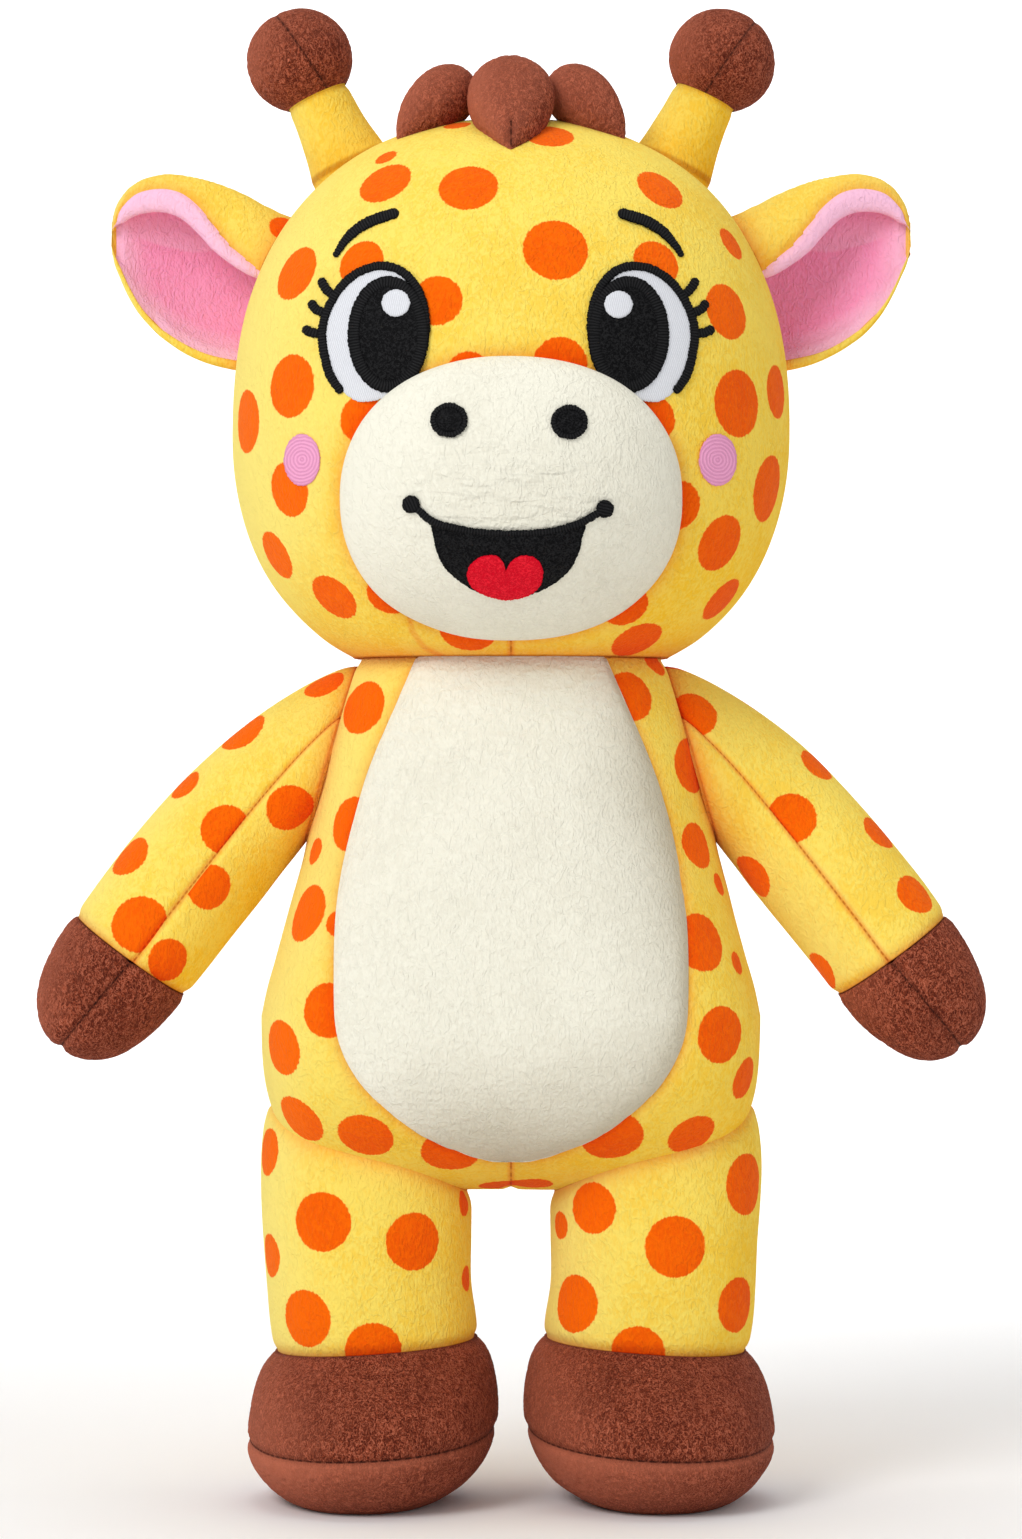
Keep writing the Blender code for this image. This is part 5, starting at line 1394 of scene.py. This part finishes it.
def distance_to(points, x, z):
    """Distance in the front view from points to a dense path."""
    found = np.full(len(points), 1.0)
    near = np.where(points[:, 1] < 10 * MM)[0]
    path = np.stack([x, z], axis=1)
    for chunk in np.array_split(near, max(len(near) // 2000, 1)):
        away = np.linalg.norm(points[chunk][:, None, [0, 2]] - path[None], axis=2)
        found[chunk] = away.min(axis=1)
    return found


def build_torso():
    sides, bulb, upper = 288, 60, 130
    levels = [HIP_HEIGHT - TORSO_HALF_DEPTH * math.cos(math.pi / 2 * r / bulb) for r in range(1, bulb)]
    levels += [mix(HIP_HEIGHT, NECK_Z, r / upper) for r in range(upper + 1)]
    angle = turns(sides)
    rings = []
    for z in levels:
        drop = HIP_HEIGHT - z
        if drop > 0:
            reach = TORSO_HALF_WIDTH * float(remainder(HIP_POWER, drop / TORSO_HALF_DEPTH))
            x, away = oval(angle, reach, 1.0, HIP_POWER)
            y = np.sign(away) * np.sqrt(np.maximum(hip_radius(x) ** 2 - drop**2, 0.0))
        else:
            width, depth, power = (float(v) for v in torso_sizes(np.array(z)))
            x, y = oval(angle, width, depth, power)
            if z > ARMPIT_Z:
                wall = shoulder_out(z)
                x = np.clip(x, -wall, wall)
        rings.append(np.stack([x, y, np.full(sides, z)], axis=-1))
    shape = tube(rings, first=(0, 0, HIP_HEIGHT - TORSO_HALF_DEPTH), last=(0, 0, NECK_Z))
    torso = Piece("torso_plush", shape, spotted)
    p = torso.rest
    spot_field(torso, TORSO_SPOTS, 12)
    bx, bz = belly_outline(400)
    edge = np.minimum(distance_to(p, bx, bz), distance_to(p, -bx, bz))
    inside = (np.abs(p[:, 0]) < belly_edge(p[:, 2])) & (p[:, 1] < 0)
    below = (p[:, 1] < 20 * MM) & (p[:, 2] < HIP_HEIGHT - BELLY_BELOW_HIP)
    centre = np.where((p[:, 1] > 0) | below, np.abs(p[:, 0]), 1.0)
    neck = np.abs(p[:, 2] - NECK_Z)
    depth = groove(centre, 1.4 * MM, 0.8 * MM) + groove(neck, 2.4 * MM, 1.0 * MM)
    depth += np.where(inside, -1.5 * MM * np.clip(edge / (1.5 * MM), 0.4, 1), groove(edge, 2.0 * MM, 0.6 * MM))
    depth += 0.35 * MM * lumps(p, 24 * MM, 5)
    torso.push(depth, [(neck, (0, 0, 1))])
    rise = (p[:, 2] - ARMPIT_Z) / SHOULDER_HEIGHT * 2 - 1
    beyond = np.hypot(p[:, 1] / ARM_ROOT_HALF_DEPTH, rise) - 1
    wall = np.abs(np.abs(p[:, 0]) - shoulder_out(np.maximum(p[:, 2], ARMPIT_Z)))
    armpit = np.hypot(np.maximum(beyond, 0) * ARM_ROOT_HALF_DEPTH, wall)
    # Painted shade near the neck, the armpits and the belly panel's edge.
    plain(torso, centre, p[:, 2] + p[:, 1], np.minimum(np.minimum(neck * 1.8, armpit * 2), edge * 3))
    bend = ("torso", "head", (0, CENTRING, NECK_Z - TWIST), (0, CENTRING, NECK_Z + TWIST))
    torso.finish("torso", ["torso_skin", "torso_stuffing"], "yellow_plush", 0.95, bend)


def build_belly():
    """The cream panel: rows from its foot to the neck, each from one edge to the other."""
    rows, columns = 190, 120
    x_edge, z_edge = belly_outline(rows)
    a = np.sin(math.pi / 2 * np.linspace(-1, 1, columns))
    x = x_edge[:, None] * a[None, :]
    z = np.broadcast_to(z_edge[:, None], x.shape)
    y = torso_front(x, z)
    bx, bz = belly_outline(400)
    flat = np.stack([x.ravel(), y.ravel() * 0 - 1, z.ravel()], axis=1)
    edge = np.minimum(distance_to(flat, bx, bz), distance_to(flat, -bx, bz)).reshape(x.shape)
    pad = 0.9 * MM * (1 - np.exp(-edge / (1.8 * MM))) - 0.55 * MM * np.exp(-((edge / (0.8 * MM)) ** 2))
    neck = groove(np.abs(z - NECK_Z), 2.4 * MM, 1.0 * MM)
    y = y - pad - neck
    grid = np.stack([x, y, z], axis=-1)
    belly = Piece("belly_plush", (grid.reshape(-1, 3), grid_faces(rows, columns, False)), cream)
    p = belly.rest
    belly.push(0.3 * MM * lumps(p, 22 * MM, 8) * (1 if belly.normals()[:, 1].mean() < 0 else -1))
    belly.value("wave", np.full(len(p), 0.25))
    plain(belly)
    # Painted shade on the belly's faces turned to +x and down, away from the key lamp.
    belly.value("painted_light_and_shade", 1.7 * ease(belly.normals() @ BELLY_PAINTED_SHADE_WAY * 1.5 + 0.05))
    bend = ("torso", "head", (0, CENTRING, NECK_Z - TWIST), (0, CENTRING, NECK_Z + TWIST))
    belly.finish("torso", ["belly_panel"], "cream_plush", 0.9, bend)


# Arms


def shoulder_seam(sign):
    high = np.array([sign * shoulder_out(SHOULDER_TOP_Z), 0, SHOULDER_TOP_Z])
    low = np.array([sign * shoulder_out(ARMPIT_Z), 0, ARMPIT_Z])
    down = low - high
    out = np.array([-sign * down[2], 0, sign * down[0]])
    return high, low, out / np.linalg.norm(out)


def arm_section(sign, t):
    high, low, out = shoulder_seam(sign)
    high, low = high + out * GAP, low + out * GAP
    elbow = high + np.array([sign * ELBOW_OUT, 0, -ELBOW_DROP])
    cuff_top = high + np.array([sign * CUFF_OUT, 0, -CUFF_DROP])
    inward = np.array([-sign * math.cos(CUFF_LEAN), 0, -math.sin(CUFF_LEAN)])
    above = high * (1 - t) ** 2 + elbow * 2 * t * (1 - t) + cuff_top * t**2
    below = mix(low, cuff_top + inward * CUFF_WIDTH, t**ARM_UNDERSIDE_POWER)
    middle = (above + below) / 2 + np.array([0, -ARM_FORWARD * t * t, 0])
    up = (above - below) / 2
    return middle, up, mix(ARM_ROOT_HALF_DEPTH, ARM_HALF_DEPTH, float(ease(t * 2)))


def seam_angle(t):
    """Where the front seam runs round the arm: above the middle at the shoulder, just below it at the cuff."""
    return -math.radians(mix(66.0, 98.0, 1 - (1 - t) ** 2.6))


def angle_gap(angle, other):
    return np.abs((angle - other + math.pi) % (2 * math.pi) - math.pi)


def build_arm(side, sign):
    sides, rings = 200, 140
    loops, seam, panel, along = [], [], [], []
    for r in range(rings + 1):
        t = r / rings
        middle, up, deep = arm_section(sign, t)
        angle = turns(sides) + seam_angle(t)
        ring = middle + up[None, :] * np.cos(angle)[:, None]
        ring[:, 1] += deep * np.sin(angle)
        size = (np.linalg.norm(up) + deep) / 2
        front = seam_angle(t)
        behind = math.pi / 2
        loops.append(ring)
        seam.append(np.minimum(angle_gap(angle, front), angle_gap(angle, behind)) * size)
        upper = ((angle - front) % (2 * math.pi)) < (behind - front) % (2 * math.pi)
        panel.append(np.where(upper, 1, -1))
        along.append(np.full(sides, t * (CUFF_OUT + CUFF_DROP) * 0.8))
    high, low, out = shoulder_seam(sign)
    root = loops[0] - out * 0.8 * MM
    for rows in (loops, seam, panel, along):
        rows.insert(0, rows[0])
    loops[0] = root
    first = arm_section(sign, 0.0)[0] - out * 1.2 * MM
    arm = Piece("arm_" + side + "_plush", tube(loops, first=first), spotted)
    p = arm.rest
    seam = np.append(np.concatenate(seam), 1.0)
    panel = np.append(np.concatenate(panel), 1)
    along = np.append(np.concatenate(along), 0.0)
    spot_field(arm, ARM_SPOTS[side], 13 if sign > 0 else 14, panel)
    root = np.abs((p - high) @ out)
    cuff_middle, _, _ = arm_section(sign, 1.0)
    cuff = np.abs((p - cuff_middle) @ np.array([sign * math.sin(CUFF_LEAN), 0, -math.cos(CUFF_LEAN)]))
    depth = groove(seam, 1.3 * MM, 0.8 * MM) + groove(root, 2.6 * MM, 1.0 * MM) + groove(cuff, 1.6 * MM, 0.9 * MM)
    depth += 0.35 * MM * lumps(p, 20 * MM, 21 + sign)
    way = np.array([sign * math.sin(CUFF_LEAN), 0, -math.cos(CUFF_LEAN)])
    arm.push(depth, [(root, out), (cuff, way)])
    # Painted shade near the shoulder and the cuff.
    plain(arm, np.minimum(seam, root + 0.12 * MM), along, np.minimum(root * 1.3, cuff * 3))
    fold = sign * (shoulder_out(ARMPIT_Z) - 2.5 * MM)
    bend = ("torso", "arm_" + side, (fold, 0, ARMPIT_Z), (fold + sign * 26 * MM, 0, ARMPIT_Z - 12 * MM))
    arm.finish("arm_" + side, ["arm_skin_" + side, "arm_stuffing_" + side], "yellow_plush", 0.92, bend)
    build_hand(side, sign)


HAND_SEAM_LOW = 2.2 * MM


def build_hand(side, sign):
    sides, rings = 220, 90
    angle = turns(sides)
    middle, up, deep = arm_section(sign, 1.0)
    way = np.array([sign * math.sin(CUFF_LEAN), 0, -math.cos(CUFF_LEAN)]) * HAND_LENGTH
    way = way + np.array([0, -HAND_FORWARD, 0])
    way /= np.linalg.norm(way)
    middle = middle + way * GAP
    loops = []
    for r in range(rings):
        lean = math.pi / 2 * r / rings
        far = HAND_LENGTH * math.sin(lean) ** (2 / BODY_POWER)
        width = math.cos(lean) ** (2 / BODY_POWER)
        ring = middle + way * far + up[None, :] * (np.cos(angle) * width)[:, None]
        ring[:, 1] += deep * width * np.sin(angle)
        loops.append(ring)
    shape = tube(loops, first=middle, last=middle + way * HAND_LENGTH)
    p = shape[0]
    side_way = up / np.linalg.norm(up)
    lead = np.where(p[:, 1] < middle[1], HAND_SEAM_LOW * (1 - np.clip((p - middle) @ way / HAND_LENGTH, 0, 1)), 0.0)
    seam = np.abs((p - middle) @ side_way + lead)
    cuff = np.abs((p - middle) @ way)
    seam = np.minimum(seam, cuff + 0.25 * MM)
    flats = [(cuff, way)]
    brown_piece("hand_" + side + "_plush", shape, "arm_" + side, ["hand_" + side], seam, (p - middle) @ way, flats)


# Legs and boots


def leg_outline(sign, share, angle, grow=0.0):
    centre = mix(LEG_X, CUFF_X, float(curve(LEG_SHARES, share, 2)))
    width = LEG_HALF_WIDTH * float(curve(LEG_SHARES, share, 1)) + grow
    x, y = oval(angle, width, LEG_HALF_DEPTH + grow, BOOT_POWER)
    return sign * (centre + x), y


def seat_z(x, y, grow=0.0):
    return HIP_HEIGHT - np.sqrt(np.maximum(hip_radius(x, grow) ** 2 - y**2, 0.0))


def build_leg(side, sign):
    sides, rings = 220, 120
    angle = turns(sides)
    rim_x, rim_y = leg_outline(sign, 0.0, angle)
    tops = seat_z(rim_x, rim_y, -0.6 * MM)
    centre = sign * mix(LEG_X, CUFF_X, float(curve(LEG_SHARES, 0.0, 2)))
    loops = []
    for share in (0.35, 0.7, 0.93):
        x, y = centre + (rim_x - centre) * share, rim_y * share
        loops.append(np.stack([x, y, seat_z(x, y, -0.2 * MM)], axis=-1))
    low = CUFF_HEIGHT + GAP / 2
    for r in range(rings + 1):
        share = r / rings
        x, y = leg_outline(sign, share, angle)
        loops.append(settled(np.stack([x, y, mix(tops, low, share)], axis=-1), sign))
    cuff_at = np.concatenate([np.full(sides, 1.0)] * 3 + [np.abs(mix(tops, low, r / rings) - low) for r in range(rings + 1)])
    first = (centre, 0, float(seat_z(np.array(centre), np.array(0.0))))
    leg = Piece("leg_" + side + "_plush", tube(loops, first=first), spotted)
    p = leg.rest
    spot_field(leg, LEG_SPOTS[side], 15 if sign > 0 else 16)
    hip = np.abs(p[:, 2] - seat_z(p[:, 0], p[:, 1]))
    cuff = np.append(cuff_at, 1.0)
    behind = np.where(p[:, 1] > 0, np.abs(p[:, 0] - sign * LEG_X), 1.0)
    behind = np.where(hip < 0.3 * MM, 1.0, behind)
    depth = groove(hip, 2.6 * MM, 1.0 * MM) + groove(cuff, 1.8 * MM, 1.0 * MM) + groove(behind, 1.3 * MM, 0.8 * MM)
    depth += 0.35 * MM * lumps(p, 22 * MM, 31 + sign)
    leg.push(depth, [(hip, (0, 0, 1)), (cuff, (0, 0, 1))])
    # Painted shade near the hip and the cuff.
    plain(leg, behind, p[:, 2], np.minimum(hip * 1.8, cuff * 3))
    leg.finish("leg_" + side, ["leg_skin_" + side, "leg_stuffing_" + side], "yellow_plush", 0.95)
    build_boot(side, sign)


def settled(points, sign):
    """Cuff and boot seams rise towards the inner side, and the sole's seam sags over the toe."""
    x, y, z = points[..., 0], points[..., 1], points[..., 2]
    inward = np.clip((CUFF_X - sign * x) / BOOT_HALF_WIDTH, -1, 1)
    cuff = np.exp(-(((z - CUFF_HEIGHT) / (11 * MM)) ** 2))
    sole = np.exp(-(((z - SOLE_HEIGHT) / (8.5 * MM)) ** 2))
    points[..., 2] = z + cuff * CUFF_TILT * inward + sole * (SOLE_TILT * inward - SOLE_SAG * np.clip(-y / BOOT_TOE, 0, 1))
    return points


def boot_ring(sign, z, angle):
    share = z / CUFF_HEIGHT
    width = BOOT_HALF_WIDTH * float(curve(BOOT_SHARES, share, 1))
    toe = BOOT_TOE * float(curve(BOOT_SHARES, share, 2))
    heel = BOOT_HEEL * float(curve(BOOT_SHARES, share, 3))
    x, y = oval(angle, width, 1.0, BOOT_POWER)
    y = y * np.where(y > 0, heel, toe)
    centre = CUFF_X + BOOT_SPLAY * (1 - share) ** 2
    return np.stack([sign * (centre + x), y, np.full(len(angle), z)], axis=-1)


def build_boot(side, sign):
    sides = 320
    angle = turns(sides)
    high = CUFF_HEIGHT + GAP / 2
    levels = [mix(SOLE_HEIGHT, high, i / 70) for i in range(71)]
    rings = [boot_ring(sign, z, angle) for z in levels]
    shape = tube(rings, first=(sign * CUFF_X, 0, SOLE_HEIGHT), last=(sign * CUFF_X, 0, high))
    p = shape[0].copy()
    settled(shape[0], sign)
    seam = np.minimum(np.abs(p[:, 2] - SOLE_HEIGHT), np.abs(p[:, 2] - high) + 0.3 * MM)
    heel = np.where(p[:, 1] > 0, np.abs(p[:, 0] - sign * CUFF_X), 1.0)
    seam = np.minimum(seam, heel)
    round_way = np.arctan2(p[:, 1], p[:, 0] - sign * CUFF_X) * BOOT_HALF_WIDTH
    flats = [(np.minimum(np.abs(p[:, 2] - SOLE_HEIGHT), np.abs(p[:, 2] - high)), (0, 0, 1))]
    brown_piece("boot_upper_" + side + "_plush", shape, "leg_" + side, ["boot_upper_" + side], seam, round_way, flats)
    levels = [SOLE_HEIGHT * (i / 60) ** 1.5 for i in range(61)]
    rings = [boot_ring(sign, z, angle) for z in levels]
    shape = tube(rings, first=(sign * CUFF_X, 0, 0), last=(sign * CUFF_X, 0, SOLE_HEIGHT))
    p = shape[0].copy()
    settled(shape[0], sign)
    seam = np.abs(p[:, 2] - SOLE_HEIGHT)
    round_way = np.arctan2(p[:, 1], p[:, 0] - sign * CUFF_X) * BOOT_HALF_WIDTH
    flats = [(np.minimum(seam, p[:, 2]), (0, 0, 1))]
    # Much more painted light on the sole.
    brown_piece("boot_sole_" + side + "_plush", shape, "leg_" + side, ["boot_sole_" + side], seam, round_way, flats,
                painted_shade_shift=-0.62)


# Tail


def build_tail():
    z = HIP_HEIGHT + TAIL_ABOVE_HIP
    depth = float(torso_sizes(np.array(z))[1])
    root = np.array([0, depth + GAP + TAIL_RADIUS, z])
    down = np.array([0, math.sin(TAIL_LEAN), -math.cos(TAIL_LEAN)])
    across = np.array([1.0, 0, 0])
    lean = np.linspace(-math.pi / 2, 0, 14)[1:]
    profile = [(TAIL_RADIUS * math.sin(a), TAIL_RADIUS * math.cos(a)) for a in lean]
    profile += [(TAIL_LENGTH * s, TAIL_RADIUS) for s in np.linspace(0.02, 1, 50)]
    rings = along_axis(root, down, across, profile, 60)
    rings[..., 1] -= 2.2 * MM * np.clip(1 - ((rings - root) @ down) / (9 * MM), 0, 1.4) ** 2
    top = root - down * TAIL_RADIUS - np.array([0, 4.0 * MM, 0])
    tail = Piece("tail_plush", tube(rings, first=top), yellow)
    p = tail.rest
    end = np.abs((p - root) @ down - TAIL_LENGTH)
    tail.push(groove(end, 1.6 * MM, 0.9 * MM) + 0.2 * MM * lumps(p, 8 * MM, 33))
    # Painted shade near the tail's root.
    plain(tail, crease_shade=np.abs((p - root) @ down))
    pivot = root + np.array([0, CENTRING, 0])
    tail.finish("torso", ["tail"], "yellow_plush", 0.8, ("torso", "tail", tuple(pivot), tuple(pivot + down * 6 * MM)))
    start = root + down * (TAIL_LENGTH + GAP)
    profile = [(0.0, TAIL_RADIUS)]
    for share in np.arange(1, 60) / 60:
        a = math.pi * mix(0.25, 1.0, share)
        swell = math.sin(a) * 1.2 * math.cos(a / 2) ** 0.4
        profile.append((TAIL_TUFT_LENGTH * share, TAIL_TUFT_RADIUS * min(swell, 1.0)))
    rings = along_axis(start, down, across, profile, 80)
    shape = tube(rings, first=start, last=start + down * TAIL_TUFT_LENGTH)
    brown_piece("tail_tuft_plush", shape, "tail", ["tail_tuft"])


# Stage


def build_stage():
    half = 3.0
    mesh = bpy.data.meshes.new("floor")
    bend = 0.35
    rows = [(-half, 0.0)]
    for i in range(13):
        a = math.pi / 2 * i / 12
        rows.append((1.6 + bend * math.sin(a), bend * (1 - math.cos(a))))
    rows.append((1.6 + bend, 2.6))
    points = [(x, y, z - 0.2 * MM) for y, z in rows for x in (-half, half)]
    faces = [(2 * i, 2 * i + 1, 2 * i + 3, 2 * i + 2) for i in range(len(rows) - 1)]
    mesh.from_pydata(points, [], faces)
    mesh.shade_smooth()
    look, tree, shader = new_look("floor_look")
    coordinates = node(tree, "ShaderNodeTexCoord").outputs["Object"]
    grain = noise_at(tree, coordinates, 30.0, 2.0)
    tone = mixed(tree, maths(tree, "MULTIPLY", grain, 0.3), (0.97, 0.97, 0.97, 1), (0.95, 0.95, 0.95, 1))
    tree.links.new(tone, shader.inputs["Base Color"])
    shader.inputs["Roughness"].default_value = 0.9
    shader.inputs["Specular IOR Level"].default_value = 0.1
    mesh.materials.append(look)
    floor = bpy.data.objects.new("floor", mesh)
    bpy.context.collection.objects.link(floor)


def build_light(name, place_at, aim, size, power):
    data = bpy.data.lights.new(name, "AREA")
    data.shape = "DISK"
    data.size = size
    data.energy = power
    made = bpy.data.objects.new(name, data)
    made.location = place_at
    made.rotation_euler = (Vector(aim) - Vector(place_at)).to_track_quat("-Z", "Y").to_euler()
    bpy.context.collection.objects.link(made)


def build_lights():
    world = bpy.data.worlds.new("studio")
    world.use_nodes = True
    back = world.node_tree.nodes["Background"]
    back.inputs["Color"].default_value = (1.0, 1.0, 1.0, 1.0)
    back.inputs["Strength"].default_value = 0.52
    bpy.context.scene.world = world
    middle = (0, 0, 0.2)
    build_light("key", (-0.9, -1.3, 1.25), middle, 0.9, 15)
    build_light("fill", (1.3, -1.0, 0.6), middle, 1.2, 2)
    build_light("top", (0.0, 0.1, 1.7), middle, 1.0, 5)
    build_light("wall", (0.0, 0.9, 1.2), (0.0, 2.0, 0.5), 1.2, 14)


def build_tone():
    view = bpy.context.scene.view_settings
    view.view_transform = "Standard"
    view.look = "None"
    view.exposure = 0.0


def build_camera():
    data = bpy.data.cameras.new("camera")
    data.sensor_width = SENSOR
    data.lens = SENSOR * CAMERA_AWAY / (PIXEL * PICTURE_TALL)
    made = bpy.data.objects.new("camera", data)
    made.location = (0, CENTRING - CAMERA_AWAY, CAMERA_HEIGHT)
    made.rotation_euler = (math.pi / 2, 0, 0)
    bpy.context.collection.objects.link(made)
    bpy.context.scene.camera = made


build_camera()
build_tone()
build_lights()
build_stage()
build_torso()
build_belly()
build_head()
build_muzzle()
build_hair()
build_mouth()
for side, sign in SIDES:
    build_arm(side, sign)
    build_leg(side, sign)
    build_horn(side, sign)
    build_ear(side, sign)
    build_eye(side)
    build_cheek_and_nostril(side)
build_tail()
